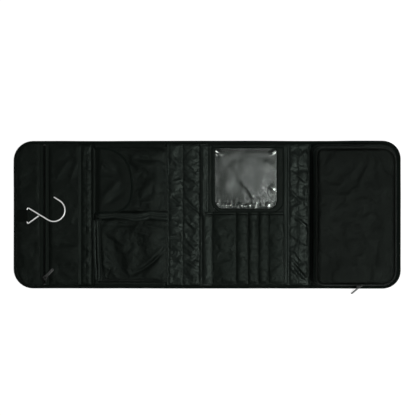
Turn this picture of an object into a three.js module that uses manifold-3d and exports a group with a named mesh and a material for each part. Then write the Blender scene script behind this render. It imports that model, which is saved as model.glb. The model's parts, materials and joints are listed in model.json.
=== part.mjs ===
// A hanging fold-out toiletry bag, lying open and flat, contents side up.
// Millimetres. X runs along the bag from the hook panel to the pouch, Y across it, Z up.
// The origin is on the underside of the brush panel, at the middle of the open bag.
import * as THREE from 'three';
import { mergeVertices } from 'three/addons/utils/BufferGeometryUtils.js';
import Module from 'manifold-3d';

const wasm = await Module();
wasm.setup();

// Overall sizes
const bagWidth = 271;
const hookPanelLength = 123.5;
const pocketPanelLength = 142;
const brushPanelLength = 162;
const pouchPanelLength = 168.7;
const hookCornerRadius = 35;
const pouchCornerRadius = 32;

// Cloth, boards and edge binding
const fit = 0.3;
const boardThickness = 3.2;
const clothThickness = 0.8;
const liningThickness = 0.6;
const bindingWidth = 5.5;
const bindingWall = 0.8;
const flangeThickness = 1;
const seamAllowance = 1;
const hingeSetback = 3.5;
const lipGap = 0.65;
const spineEndGap = 0.25;

// Heights of what lies on each panel, measured from the underside of the bag
const hookStackHeight = 9.6;
const pocketStackHeight = 10;
const brushStackHeight = 7.8;
const pouchHeight = 30;
const foldClearance = 0.5;
const wideSpineLean = THREE.MathUtils.degToRad(15);

// Hook panel: zip
const hookZipInset = 56.2;
const zipTapeWidth = 6;
const zipTapeThickness = 0.6;
const zipTeethWidth = 3.4;
const zipTeethHeight = 1;
const zipPitch = 4.5;
const zipToothLength = 1.5;
const zipToothGap = 0.35;
const zipStopLength = 2.4;
const hookSliderFromEnd = 18;

// Zip sliders and pulls
const sliderWidth = 9;
const sliderWaist = 7;
const sliderLength = 11;
const sliderPlate = 1.1;
const archOpening = 3.8;
const archHeight = 2.1;
const archThickness = 0.75;
const archWidth = 1.1;
const pullBar = 1.1;
const pullThickness = 1.1;
const pullEyeWidth = 6.6;
const pullEyeSide = 0.8;
const pullEyeLength = 3.8;
const pullTabWidth = 4.8;
const pullLength = 24;
const hookPullYaw = THREE.MathUtils.degToRad(47);
const hookPullDroop = THREE.MathUtils.degToRad(4);

// Wire hook and its webbing strap
const wireDiameter = 3;
const wireClearance = 0.25;
const strapThickness = 0.7;
const strapWidth = 22;
const strapTail = 19;
const strapPinch = 6.4;
const hookEyeFromEnd = 25;
const hookEyeTop = 12.3;
const hookEyeBottom = -16;
const hookEyeCorner = 3.6;
const hookEyeLength = 27.4;
const hookShankAngle = THREE.MathUtils.degToRad(-31.3);
const hookBendRadius = 20.7;
const hookShankLength = 44.6;
const hookBendSweep = THREE.MathUtils.degToRad(179);
const hookTipLength = 13;
const wireSides = 8;
const wireSteps = 84;

// Pocket panel
const pocketTopGap = 10.5;
const pocketSplit = -1.3;
const dividerWidth = 5.2;
const pocketMouthInset = 14.5;
const pocketWallInset = 3.8;
const pocketWallSlope = 3.6;
const pocketCornerRadius = 12;
// Shares of the pocket's height and of its wall's slope, from the seam to the top
const pocketProfile = [[0, 0], [0.6, 0.3], [1, 0.7]];
const pocketSheet = 0.8;
const pocketInside = 4.5;
const mouthBandWidth = 2;
const mouthBandRise = 0.4;
const flapHemInset = 2.5;
const flapHemWidth = 5;
const flapHemHeight = 1.1;
const flapLength = 70;
const flapWidth = 122;
const flapSheet = 0.9;
const flapBindingWidth = 4;
// How far each of the flap's two curves reaches back from its corner, along X and Y
const flapHighCurve = [62, 74];
const flapLowCurve = [40, 46];

// Brush panel
const channelSeams = [3.7, 22.7, 65.9, 87.9, 106.8, 125.7, 154.5];
const channelRise = 3.2;
const channelSheet = 0.8;
const seamFlat = 0.9;
const channelSteps = 8;
const mouthBinding = 3;
const windowStart = 20.7;
const windowLength = 133;
const windowTopGap = 10.5;
const windowWidth = 121;
const windowCorner = 22;
const windowBorderLeft = 6;
const windowBorderRight = 13.4;
const windowBorderTop = 2;
const windowBorderBottom = 9.4;
const vinylCorner = 15;
const vinylThickness = 0.4;
const vinylOverlap = 3;
const windowFrameThickness = 0.8;
const windowHemWidth = 3.6;
const windowHemThickness = 0.4;

// Pouch
const pouchWallInset = 2.5;
const pouchTopInset = 9;
const pouchTopLean = 3;
const pouchCornerNear = 14;
const pouchWall = 1.6;
const lowerGussetTop = 12.7;
const pouchZipTop = 20.3;
const pouchShoulder = 27;
const lidHingeInset = 67.5;
const pipingDiameter = 3;
const pipingSides = 8;
const pouchSliderFromHinge = 9;
const pouchSliderStandOff = 1.3;
const pouchPullDirection = new THREE.Vector3(-0.54, -0.55, -0.637).normalize();

// Derived places along X, from the hook panel's outer edge to the pouch's
// A spine folds at the middle of its cloth, which adds one cloth's thickness to what it spans
const narrowSpineLength = hookStackHeight + pocketStackHeight + foldClearance - clothThickness;
const pouchSpineLength = brushStackHeight + pouchHeight + foldClearance - clothThickness;
const wideSpineRise = pouchSpineLength + narrowSpineLength + clothThickness + foldClearance;
const wideSpineLength = wideSpineRise / Math.cos(wideSpineLean);
const panelLengths = hookPanelLength + pocketPanelLength + brushPanelLength + pouchPanelLength;
const bagLength = panelLengths + narrowSpineLength + wideSpineLength + pouchSpineLength;
const hookStart = -bagLength / 2;
const hookEnd = hookStart + hookPanelLength;
const pocketStart = hookEnd + narrowSpineLength;
const pocketEnd = pocketStart + pocketPanelLength;
const brushStart = pocketEnd + wideSpineLength;
const brushEnd = brushStart + brushPanelLength;
const pouchStart = brushEnd + pouchSpineLength;
const pouchEnd = pouchStart + pouchPanelLength;
const halfWidth = bagWidth / 2;
const coreInset = bindingWidth + fit;
const boardTop = boardThickness + fit;
const arcSegments = 5;
const cutMargin = 5;

// Solids: geometry to manifold and back

function solid(geometry) {
  const plain = geometry.clone();
  plain.deleteAttribute('normal');
  plain.deleteAttribute('uv');
  const merged = mergeVertices(plain, 1e-4);
  const triVerts = merged.index
    ? new Uint32Array(merged.index.array)
    : Uint32Array.from({ length: merged.attributes.position.count }, (_, i) => i);
  const vertProperties = new Float32Array(merged.attributes.position.array);
  return new wasm.Manifold(new wasm.Mesh({ numProp: 3, vertProperties, triVerts }));
}

function geometryOf(manifold) {
  const mesh = manifold.getMesh();
  const geometry = new THREE.BufferGeometry();
  const count = mesh.vertProperties.length / mesh.numProp;
  const position = new Float32Array(count * 3);
  for (let i = 0; i < count; i++) {
    for (let axis = 0; axis < 3; axis++) {
      position[i * 3 + axis] = mesh.vertProperties[i * mesh.numProp + axis];
    }
  }
  geometry.setAttribute('position', new THREE.BufferAttribute(position, 3));
  geometry.setIndex(new THREE.BufferAttribute(new Uint32Array(mesh.triVerts), 1));
  const flat = geometry.toNonIndexed();
  flat.computeVertexNormals();
  return flat;
}

function join(parts) {
  return parts.reduce((all, part) => all.add(part));
}

function box(x0, x1, y0, y1, z0, z1) {
  const geometry = new THREE.BoxGeometry(x1 - x0, y1 - y0, z1 - z0);
  geometry.translate((x0 + x1) / 2, (y0 + y1) / 2, (z0 + z1) / 2);
  return solid(geometry);
}

function plate(shape, z0, z1) {
  const options = { depth: z1 - z0, bevelEnabled: false, curveSegments: arcSegments };
  const geometry = new THREE.ExtrudeGeometry(shape, options);
  geometry.translate(0, 0, z0);
  return solid(geometry);
}

// A section drawn as [x, z] points, swept along Y from y0 to y1
function sweepAcross(points, y0, y1) {
  const shape = new THREE.Shape(points.map(([x, z]) => new THREE.Vector2(z, x)));
  return sweepShapeAcross(shape, y0, y1);
}

function sweepShapeAcross(shape, y0, y1) {
  const options = { depth: y1 - y0, bevelEnabled: false, curveSegments: arcSegments };
  const geometry = new THREE.ExtrudeGeometry(shape, options);
  const turn = new THREE.Matrix4().makeBasis(
    new THREE.Vector3(0, 0, 1),
    new THREE.Vector3(1, 0, 0),
    new THREE.Vector3(0, 1, 0),
  );
  geometry.applyMatrix4(turn);
  geometry.translate(0, y0, 0);
  return solid(geometry);
}

// A rectangle with its own corner radius at the low and the high end of X
function roundedEnds(x0, x1, y0, y1, radiusLow, radiusHigh) {
  const shape = new THREE.Shape();
  const low = Math.max(radiusLow, 0);
  const high = Math.max(radiusHigh, 0);
  shape.moveTo(x0 + low, y0);
  shape.lineTo(x1 - high, y0);
  if (high > 0) shape.absarc(x1 - high, y0 + high, high, -Math.PI / 2, 0, false);
  else shape.lineTo(x1, y0);
  shape.lineTo(x1, y1 - high);
  if (high > 0) shape.absarc(x1 - high, y1 - high, high, 0, Math.PI / 2, false);
  shape.lineTo(x0 + low, y1);
  if (low > 0) shape.absarc(x0 + low, y1 - low, low, Math.PI / 2, Math.PI, false);
  else shape.lineTo(x0, y1);
  shape.lineTo(x0, y0 + low);
  if (low > 0) shape.absarc(x0 + low, y0 + low, low, Math.PI, Math.PI * 1.5, false);
  return shape;
}

// A closed skin through rings of equal point counts, lowest ring first
function loft(rings) {
  const position = [];
  const index = [];
  const count = rings[0].length;
  rings.forEach((ring) => ring.forEach((p) => position.push(p.x, p.y, p.z)));
  for (let level = 0; level + 1 < rings.length; level++) {
    for (let i = 0; i < count; i++) {
      const a = level * count + i;
      const b = level * count + ((i + 1) % count);
      index.push(a, b, b + count, a, b + count, a + count);
    }
  }
  const flat = rings[0].map((p) => new THREE.Vector2(p.x, p.y));
  const top = (rings.length - 1) * count;
  for (const [a, b, c] of THREE.ShapeUtils.triangulateShape(flat, [])) {
    index.push(c, b, a, top + a, top + b, top + c);
  }
  const geometry = new THREE.BufferGeometry();
  geometry.setAttribute('position', new THREE.Float32BufferAttribute(position, 3));
  geometry.setIndex(index);
  return solid(geometry);
}

// Points round a rectangle, with the same number of points in every corner
function ringPoints(x0, x1, y0, y1, radiusLow, radiusHigh, z) {
  const steps = 5;
  const corners = [
    [x1 - radiusHigh, y0 + radiusHigh, radiusHigh, -0.5],
    [x1 - radiusHigh, y1 - radiusHigh, radiusHigh, 0],
    [x0 + radiusLow, y1 - radiusLow, radiusLow, 0.5],
    [x0 + radiusLow, y0 + radiusLow, radiusLow, 1],
  ];
  const points = [];
  for (const [x, y, radius, start] of corners) {
    for (let i = 0; i <= steps; i++) {
      const angle = (start + (0.5 * i) / steps) * Math.PI;
      points.push(new THREE.Vector3(x + radius * Math.cos(angle), y + radius * Math.sin(angle), z));
    }
  }
  return points;
}

// The object's materials, one colour a finish
const finishes = {
  nylon: { color: 0x141815, roughness: 0.62, metalness: 0 },
  lining: { color: 0x20261f, roughness: 0.42, metalness: 0 },
  binding: { color: 0x151c18, roughness: 0.7, metalness: 0 },
  webbing: { color: 0x101310, roughness: 0.75, metalness: 0 },
  zipTape: { color: 0x121512, roughness: 0.7, metalness: 0 },
  zipTeeth: { color: 0x1a1d1b, roughness: 0.4, metalness: 0 },
  vinyl: { color: 0x4a504b, roughness: 0.15, metalness: 0 },
  steel: { color: 0xc4c8c4, roughness: 0.22, metalness: 1 },
  gunmetal: { color: 0x5b5e5c, roughness: 0.35, metalness: 0.9 },
};

const bag = new THREE.Group();

function addPiece(name, manifold, finish, parent = bag) {
  const material = new THREE.MeshStandardMaterial(finishes[finish]);
  const mesh = new THREE.Mesh(geometryOf(manifold), material);
  mesh.name = name;
  parent.add(mesh);
  return mesh;
}

// Padded panels

// The board, its thin sewn edge and the cloth lips at its hinge lines
function panelShell(start, end, roundStart, roundEnd) {
  const coreStart = roundStart ? start + coreInset : start + hingeSetback;
  const coreEnd = roundEnd ? end - coreInset : end - hingeSetback;
  const coreHalf = halfWidth - coreInset;
  const core = roundedEnds(
    coreStart, coreEnd, -coreHalf, coreHalf, roundStart - coreInset, roundEnd - coreInset,
  );
  const edge = bindingWall + fit;
  const flange = roundedEnds(
    roundStart ? start + edge : coreStart,
    roundEnd ? end - edge : coreEnd,
    edge - halfWidth,
    halfWidth - edge,
    roundStart - edge,
    roundEnd - edge,
  );
  const flangeBottom = (boardThickness - flangeThickness) / 2;
  const parts = [
    plate(core, 0, boardThickness),
    plate(flange, flangeBottom, flangeBottom + flangeThickness),
  ];
  if (!roundStart) {
    parts.push(box(start + lipGap, coreStart - fit, -halfWidth, halfWidth, 0, clothThickness));
    parts.push(box(start + lipGap, coreStart + seamAllowance, -coreHalf, coreHalf, 0, clothThickness));
  }
  if (!roundEnd) {
    parts.push(box(coreEnd + fit, end - lipGap, -halfWidth, halfWidth, 0, clothThickness));
    parts.push(box(coreEnd - seamAllowance, end - lipGap, -coreHalf, coreHalf, 0, clothThickness));
  }
  return join(parts);
}

// The folded tape that grips a panel's sewn edge
function panelBinding(start, end, roundStart, roundEnd) {
  const x0 = roundStart ? start : start + hingeSetback;
  const x1 = roundEnd ? end : end - hingeSetback;
  const ring = (inset) => roundedEnds(
    roundStart ? start + inset : start - cutMargin,
    roundEnd ? end - inset : end + cutMargin,
    inset - halfWidth,
    halfWidth - inset,
    roundStart - inset,
    roundEnd - inset,
  );
  const outer = plate(
    roundedEnds(x0, x1, -halfWidth, halfWidth, roundStart, roundEnd), 0, boardThickness,
  );
  const middle = plate(ring(bindingWidth), -cutMargin, boardThickness + cutMargin);
  const groove = plate(ring(bindingWall), bindingWall, boardThickness - bindingWall);
  return outer.subtract(middle).subtract(groove);
}

function halfOf(manifold, side) {
  const reach = bagLength;
  const low = side > 0 ? 0 : -halfWidth - cutMargin;
  const high = side > 0 ? halfWidth + cutMargin : 0;
  return manifold.intersect(box(-reach, reach, low, high, -cutMargin, pouchHeight + cutMargin));
}

function addStraightBindings(prefix, start, end) {
  const both = panelBinding(start, end, 0, 0);
  addPiece(`${prefix}_binding_upper`, halfOf(both, 1), 'binding');
  addPiece(`${prefix}_binding_lower`, halfOf(both, -1), 'binding');
}

// The cloth wall between two panels, folded along a line at each side, and the lining on it
function addSpine(name, start, end) {
  const cloth = box(start + spineEndGap, end - spineEndGap, -halfWidth, halfWidth, 0, clothThickness);
  const liningHalf = halfWidth - bindingWidth;
  const liningBottom = clothThickness + fit;
  const lining = box(
    start + hingeSetback, end - hingeSetback, -liningHalf, liningHalf,
    liningBottom, liningBottom + liningThickness,
  );
  addPiece(`${name}_cloth`, cloth, 'nylon');
  addPiece(`${name}_lining`, lining, 'lining');
}

// Zips

// One row of teeth along a straight line: a cord with teeth on one side
function straightTeeth(centre, y0, y1, side, z0, height) {
  const cord = zipTeethWidth / 2 - zipToothLength / 2 - zipToothGap / 2;
  const outer = (side * zipTeethWidth) / 2;
  const inner = outer - side * cord;
  const rowLow = centre + Math.min(outer, inner);
  const rowHigh = centre + Math.max(outer, inner);
  const parts = [box(rowLow, rowHigh, y0, y1, z0, z0 + height)];
  const tip = inner - side * zipToothLength;
  const toothWidth = zipPitch / 2 - zipToothGap;
  const offset = side > 0 ? 0 : zipPitch / 2;
  const toothLow = centre + Math.min(inner + (side * cord) / 2, tip);
  const toothHigh = centre + Math.max(inner + (side * cord) / 2, tip);
  const count = Math.floor((y1 - y0 - zipPitch) / zipPitch);
  for (let i = 0; i < count; i++) {
    const y = y0 + offset + i * zipPitch + zipToothGap;
    parts.push(box(toothLow, toothHigh, y, y + toothWidth, z0, z0 + height));
  }
  return join(parts);
}

// A slider on its own axes: travel along Y, its plate's underside at z = 0, the arch on top
function sliderSolid() {
  const body = new THREE.Shape();
  const half = sliderWidth / 2;
  const end = sliderLength / 2;
  const waist = sliderWaist / 2;
  body.moveTo(-waist, -end);
  body.lineTo(waist, -end);
  body.lineTo(half, end - half);
  body.absarc(0, end - half, half, 0, Math.PI, false);
  body.closePath();
  const top = plate(body, 0, sliderPlate);
  const gap = zipTeethWidth / 2 + fit;
  const skirt = plate(body, zipTapeThickness - zipTeethHeight, fit);
  const channel = box(-gap, gap, -sliderLength, sliderLength, -sliderLength, 0);
  const reach = archOpening / 2 + archThickness;
  const arch = new THREE.Shape();
  const topZ = sliderPlate + archHeight;
  arch.moveTo(-reach, sliderPlate / 2);
  arch.lineTo(-archOpening / 2, sliderPlate / 2);
  arch.lineTo(-archOpening / 2, topZ);
  arch.lineTo(archOpening / 2, topZ);
  arch.lineTo(archOpening / 2, sliderPlate / 2);
  arch.lineTo(reach, sliderPlate / 2);
  arch.lineTo(reach, topZ);
  arch.quadraticCurveTo(reach, topZ + archThickness, archOpening / 2, topZ + archThickness);
  arch.lineTo(-archOpening / 2, topZ + archThickness);
  arch.quadraticCurveTo(-reach, topZ + archThickness, -reach, topZ);
  arch.closePath();
  const options = { depth: archWidth, bevelEnabled: false, curveSegments: arcSegments / 2 };
  const side = new THREE.ExtrudeGeometry(arch, options);
  side.applyMatrix4(new THREE.Matrix4().makeBasis(
    new THREE.Vector3(0, 1, 0), new THREE.Vector3(0, 0, 1), new THREE.Vector3(1, 0, 0),
  ));
  side.translate(-archWidth / 2, 0, 0);
  return top.add(skirt.subtract(channel)).add(solid(side));
}

// A pull on its own axes: the bar that turns under the arch along X, the tab along +Y
function pullSolid() {
  const shape = new THREE.Shape();
  const eyeHalf = pullEyeWidth / 2;
  const tabHalf = pullTabWidth / 2;
  const eyeEnd = pullBar / 2 + pullEyeLength;
  shape.moveTo(-eyeHalf, -pullBar / 2);
  shape.lineTo(eyeHalf, -pullBar / 2);
  shape.lineTo(eyeHalf, eyeEnd);
  shape.quadraticCurveTo(tabHalf, eyeEnd + pullEyeSide, tabHalf, eyeEnd + tabHalf);
  shape.lineTo(tabHalf, pullLength - tabHalf);
  shape.absarc(0, pullLength - tabHalf, tabHalf, 0, Math.PI, false);
  shape.lineTo(-tabHalf, eyeEnd + tabHalf);
  shape.quadraticCurveTo(-tabHalf, eyeEnd + pullEyeSide, -eyeHalf, eyeEnd);
  shape.closePath();
  const eye = new THREE.Path();
  eye.moveTo(pullEyeSide - eyeHalf, pullBar / 2);
  eye.lineTo(eyeHalf - pullEyeSide, pullBar / 2);
  eye.lineTo(eyeHalf - pullEyeSide, eyeEnd - pullEyeSide);
  eye.lineTo(pullEyeSide - eyeHalf, eyeEnd - pullEyeSide);
  eye.closePath();
  shape.holes.push(eye);
  const grip = new THREE.Path();
  grip.absarc(0, pullLength - tabHalf, pullEyeSide, 0, Math.PI * 2, true);
  shape.holes.push(grip);
  return plate(shape, -pullThickness / 2, pullThickness / 2);
}

const pullBarHeight = sliderPlate + archHeight / 2;

// Puts a slider or a pull, made on its own axes, at its place on the bag
function addPlaced(name, manifold, finish, origin, xAxis, yAxis) {
  const zAxis = new THREE.Vector3().crossVectors(xAxis, yAxis);
  const holder = new THREE.Group();
  holder.matrix.makeBasis(xAxis, yAxis, zAxis).setPosition(origin);
  holder.matrix.decompose(holder.position, holder.quaternion, holder.scale);
  bag.add(holder);
  return addPiece(name, manifold, finish, holder);
}

// Hook panel

const hookZipX = hookStart + hookZipInset;
const liningTop = boardTop + clothThickness;

function buildHookPanel() {
  addPiece('hook_panel_shell', panelShell(hookStart, hookEnd, hookCornerRadius, 0), 'nylon');
  addPiece('hook_panel_binding', panelBinding(hookStart, hookEnd, hookCornerRadius, 0), 'binding');
  const half = halfWidth - coreInset;
  const cover = plate(
    roundedEnds(
      hookStart + coreInset, hookEnd - hingeSetback, -half, half, hookCornerRadius - coreInset, 0,
    ),
    boardTop,
    liningTop,
  );
  const slot = zipTapeWidth + zipTeethWidth / 2 + fit * 2;
  const reach = bagLength;
  const left = cover.intersect(box(-reach, hookZipX - slot, -reach, reach, 0, reach));
  const right = cover.intersect(box(hookZipX + slot, reach, -reach, reach, 0, reach));
  addPiece('hook_lining_left', left, 'nylon');
  addPiece('hook_lining_right', right, 'nylon');
  const tapeInner = zipTeethWidth / 2 + fit;
  for (const [side, word] of [[-1, 'left'], [1, 'right']]) {
    const a = hookZipX + side * tapeInner;
    const b = hookZipX + side * (tapeInner + zipTapeWidth);
    const tape = box(Math.min(a, b), Math.max(a, b), -half, half, boardTop, boardTop + zipTapeThickness);
    addPiece(`hook_zip_tape_${word}`, tape, 'zipTape');
    const teethEnd = half - zipStopLength - fit;
    const row = straightTeeth(hookZipX, -teethEnd, teethEnd, side, boardTop, zipTeethHeight);
    addPiece(`hook_zip_teeth_${word}`, row, 'zipTeeth');
  }
  const stopHalf = zipTeethWidth / 2;
  for (const [side, word] of [[1, 'upper'], [-1, 'lower']]) {
    const a = side * (half - zipStopLength);
    const b = side * half;
    const stop = box(
      hookZipX - stopHalf, hookZipX + stopHalf, Math.min(a, b), Math.max(a, b),
      boardTop, boardTop + zipTeethHeight,
    );
    addPiece(`hook_zip_stop_${word}`, stop, 'gunmetal');
  }
}

const sliderBase = boardTop + zipTeethHeight + fit;
const hookSliderY = -halfWidth + hookSliderFromEnd;

function buildHookZipSlider() {
  const origin = new THREE.Vector3(hookZipX, hookSliderY, sliderBase);
  const along = new THREE.Vector3(0, 1, 0);
  const across = new THREE.Vector3(1, 0, 0);
  addPlaced('hook_zip_slider', sliderSolid(), 'gunmetal', origin, across, along);
  const tab = new THREE.Vector3(
    Math.cos(hookPullYaw) * Math.cos(hookPullDroop),
    Math.sin(hookPullYaw) * Math.cos(hookPullDroop),
    -Math.sin(hookPullDroop),
  );
  const bar = new THREE.Vector3(Math.sin(hookPullYaw), -Math.cos(hookPullYaw), 0);
  const centre = origin.clone().setZ(sliderBase + pullBarHeight);
  addPlaced('hook_zip_pull', pullSolid(), 'gunmetal', centre, bar, tab);
}

// The hook's wire turns in a loop of webbing that is sewn down at its tail
const wireRadius = wireDiameter / 2;
const strapInner = wireRadius + wireClearance;
const strapOuter = strapInner + strapThickness;
const strapBottom = liningTop + fit;
const barX = hookStart + hookEyeFromEnd;
const barZ = strapBottom + strapOuter;

function buildHookStrap() {
  const tailTop = strapBottom + strapThickness * 2;
  const shape = new THREE.Shape();
  shape.moveTo(strapBottom, barX - strapTail);
  shape.lineTo(strapBottom, barX);
  shape.absarc(barZ, barX, strapOuter, Math.PI, 0, true);
  shape.lineTo(tailTop, barX - strapPinch);
  shape.lineTo(tailTop, barX - strapTail);
  shape.closePath();
  const eye = new THREE.Path();
  eye.absarc(barZ, barX, strapInner, 0, Math.PI * 2, false);
  shape.holes.push(eye);
  const centre = (hookEyeTop + hookEyeBottom) / 2;
  const strap = sweepShapeAcross(shape, centre - strapWidth / 2, centre + strapWidth / 2);
  addPiece('hook_strap', strap, 'webbing');
}

class PlanarArc extends THREE.Curve {
  constructor(centre, radius, from, to) {
    super();
    this.centre = centre;
    this.radius = radius;
    this.from = from;
    this.to = to;
  }

  getPoint(t, target = new THREE.Vector3()) {
    const angle = this.from + (this.to - this.from) * t;
    return target.set(
      this.centre.x + this.radius * Math.cos(angle),
      this.centre.y + this.radius * Math.sin(angle),
      this.centre.z,
    );
  }
}

// Straight runs between points with their corners rounded
function addRoundedRuns(path, points, radius) {
  let from = points[0];
  for (let i = 1; i < points.length - 1; i++) {
    const corner = points[i];
    const back = from.clone().sub(corner).normalize();
    const on = points[i + 1].clone().sub(corner).normalize();
    const near = corner.clone().addScaledVector(back, radius);
    const far = corner.clone().addScaledVector(on, radius);
    path.add(new THREE.LineCurve3(from, near));
    path.add(new THREE.QuadraticBezierCurve3(near, corner, far));
    from = far;
  }
  path.add(new THREE.LineCurve3(from, points[points.length - 1]));
}

function buildWireHook() {
  const along = new THREE.Vector3(Math.cos(hookShankAngle), Math.sin(hookShankAngle), 0);
  const top = new THREE.Vector3(barX, hookEyeTop + wireRadius, barZ);
  const bottom = new THREE.Vector3(barX, hookEyeBottom - wireRadius, barZ);
  const bendStart = top.clone().addScaledVector(along, hookShankLength);
  const knot = top.clone().addScaledVector(along, hookEyeLength);
  const leg = knot.clone().sub(bottom);
  const meeting = Math.atan2(leg.y, leg.x) - hookShankAngle;
  const apart = wireRadius + fit + wireRadius * Math.cos(meeting);
  const legEnd = knot.clone().addScaledVector(leg.normalize(), -apart / Math.sin(meeting));
  const path = new THREE.CurvePath();
  addRoundedRuns(path, [legEnd, bottom, top, bendStart], hookEyeCorner);
  const side = new THREE.Vector3(-along.y, along.x, 0);
  const centre = bendStart.clone().addScaledVector(side, hookBendRadius);
  const from = Math.atan2(-side.y, -side.x);
  path.add(new PlanarArc(centre, hookBendRadius, from, from + hookBendSweep));
  const out = from + hookBendSweep;
  const bendEnd = path.curves[path.curves.length - 1].getPoint(1);
  const heading = new THREE.Vector3(-Math.sin(out), Math.cos(out), 0);
  path.add(new THREE.LineCurve3(bendEnd, bendEnd.clone().addScaledVector(heading, hookTipLength)));
  const section = new THREE.Shape();
  section.absarc(0, 0, wireRadius, 0, Math.PI * 2, false);
  const options = {
    steps: wireSteps, curveSegments: wireSides / 2, bevelEnabled: false, extrudePath: path,
  };
  addPiece('wire_hook', solid(new THREE.ExtrudeGeometry(section, options)), 'steel');
}

// Pocket panel

function pocketFront(y0, y1) {
  const x0 = pocketStart + pocketMouthInset;
  const x1 = pocketEnd - pocketWallInset;
  const top = boardTop + pocketInside;
  const outside = (inset, z) => ringPoints(
    x0 - cutMargin, x1 - inset, y0 + inset, y1 - inset, pocketSheet, pocketCornerRadius, z,
  );
  const inside = (inset, z) => ringPoints(
    x0 - cutMargin * 2, x1 - inset - pocketSheet, y0 + inset + pocketSheet, y1 - inset - pocketSheet,
    pocketSheet, pocketCornerRadius - pocketSheet, z,
  );
  const levels = (ring) => pocketProfile.map(
    ([height, slope]) => ring(pocketWallSlope * slope, boardTop + pocketInside * height),
  );
  const skin = loft([...levels(outside), outside(pocketWallSlope, top + pocketSheet)]);
  const hollow = loft([inside(-fit, boardTop - cutMargin), ...levels(inside)]);
  const reach = bagLength;
  return skin.subtract(hollow).intersect(box(x0, reach, -reach, reach, 0, reach));
}

const upperPocketTop = halfWidth - pocketTopGap;
const dividerTop = pocketSplit + dividerWidth / 2;
const dividerBottom = pocketSplit - dividerWidth / 2;
const lowerPocketBottom = pocketTopGap - halfWidth;

function buildPocketPanel() {
  addPiece('pocket_panel_shell', panelShell(pocketStart, pocketEnd, 0, 0), 'nylon');
  addStraightBindings('pocket_panel', pocketStart, pocketEnd);
  addPiece('flap_pocket_front', pocketFront(dividerTop + fit, upperPocketTop), 'nylon');
  addPiece('open_pocket_front', pocketFront(lowerPocketBottom, dividerBottom - fit), 'nylon');
  const dividerStart = pocketStart + pocketMouthInset;
  const divider = box(
    dividerStart, pocketEnd - pocketWallInset, dividerBottom, dividerTop, boardTop, liningTop + fit,
  );
  addPiece('pocket_divider_tape', divider, 'binding');
  const top = boardTop + pocketInside + pocketSheet;
  const bandEnd = pocketStart + pocketMouthInset - fit;
  const band = box(
    bandEnd - mouthBandWidth, bandEnd,
    lowerPocketBottom + pocketWallSlope, dividerBottom - pocketWallSlope - fit,
    top - pocketSheet - mouthBandRise, top + mouthBandRise,
  );
  addPiece('open_pocket_mouth_band', band, 'binding');
}

// The flap rises from its hem over the pocket's mouth, then lies flat on the pocket
const flapRootX = pocketStart + flapHemInset + flapHemWidth;
const flapTop = pocketStackHeight;
const flapMiddleY = (upperPocketTop + dividerTop) / 2;
const flapHingeZ = boardTop + flapHemHeight + fit + flapSheet / 2;
const flapKneeX = pocketStart + pocketMouthInset - seamAllowance;

function flapOutline(inset) {
  const low = flapMiddleY - flapWidth / 2;
  const high = flapMiddleY + flapWidth / 2;
  const x0 = flapRootX - cutMargin;
  const end = flapRootX + flapLength;
  const x1 = end - inset;
  const [lowX, lowY] = flapLowCurve;
  const [highX, highY] = flapHighCurve;
  const shape = new THREE.Shape();
  shape.moveTo(x0, low + inset);
  shape.lineTo(end - lowX, low + inset);
  shape.quadraticCurveTo(x1, low + inset, x1, low + lowY);
  shape.lineTo(x1, high - highY);
  shape.quadraticCurveTo(x1, high - inset, end - highX, high - inset);
  shape.lineTo(x0, high - inset);
  shape.closePath();
  return shape;
}

function flapSection(thickness, lift) {
  const top = flapTop - lift;
  const root = flapHingeZ + flapSheet / 2 - lift;
  return [
    [flapRootX, root - thickness],
    [flapKneeX, top - thickness],
    [flapRootX + flapLength + cutMargin, top - thickness],
    [flapRootX + flapLength + cutMargin, top],
    [flapKneeX, top],
    [flapRootX, root],
  ];
}

function buildPocketFlap() {
  const half = flapWidth / 2;
  const hem = box(
    flapRootX - flapHemWidth, flapRootX - fit, flapMiddleY - half, flapMiddleY + half,
    boardTop, boardTop + flapHemHeight,
  );
  addPiece('pocket_flap_hem', hem, 'nylon');
  const reach = bagWidth;
  const sheet = sweepAcross(flapSection(flapSheet, 0), -reach, reach);
  const cut = (inset) => plate(flapOutline(inset), 0, pocketStackHeight + cutMargin);
  addPiece('pocket_flap', sheet.intersect(cut(flapBindingWidth + fit)), 'nylon');
  const rim = sheet.intersect(cut(0)).subtract(cut(flapBindingWidth));
  addPiece('pocket_flap_binding', rim, 'binding');
}

// Brush panel

// The channel sheet's section: an arch between each two seams, flat at the seams
function channelPoints(lift) {
  const points = [];
  for (let i = 0; i + 1 < channelSeams.length; i++) {
    const from = brushStart + channelSeams[i] + seamFlat;
    const to = brushStart + channelSeams[i + 1] - seamFlat;
    for (let step = 0; step <= channelSteps; step++) {
      const t = step / channelSteps;
      const rise = channelRise * Math.sqrt(Math.sin(Math.PI * t));
      points.push([from + (to - from) * t, boardTop + lift + rise]);
    }
  }
  return points;
}

function channelSolid(y0, y1, lift) {
  const lower = channelPoints(0);
  const upper = channelPoints(channelSheet + lift);
  return sweepAcross([...lower, ...upper.reverse()], y0, y1);
}

function channelSeamWall(y0, y1) {
  const upper = channelPoints(channelSheet);
  const first = upper[0];
  const last = upper[upper.length - 1];
  return sweepAcross([[first[0], boardTop], [last[0], boardTop], ...upper.reverse()], y0, y1);
}

const windowTop = halfWidth - windowTopGap;
const windowHingeZ = boardTop + vinylThickness + fit + windowFrameThickness / 2;
const windowLeft = brushStart + windowStart;
const windowBottom = windowTop - windowWidth;
const channelMouthY = windowBottom - fit * 3;

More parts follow.
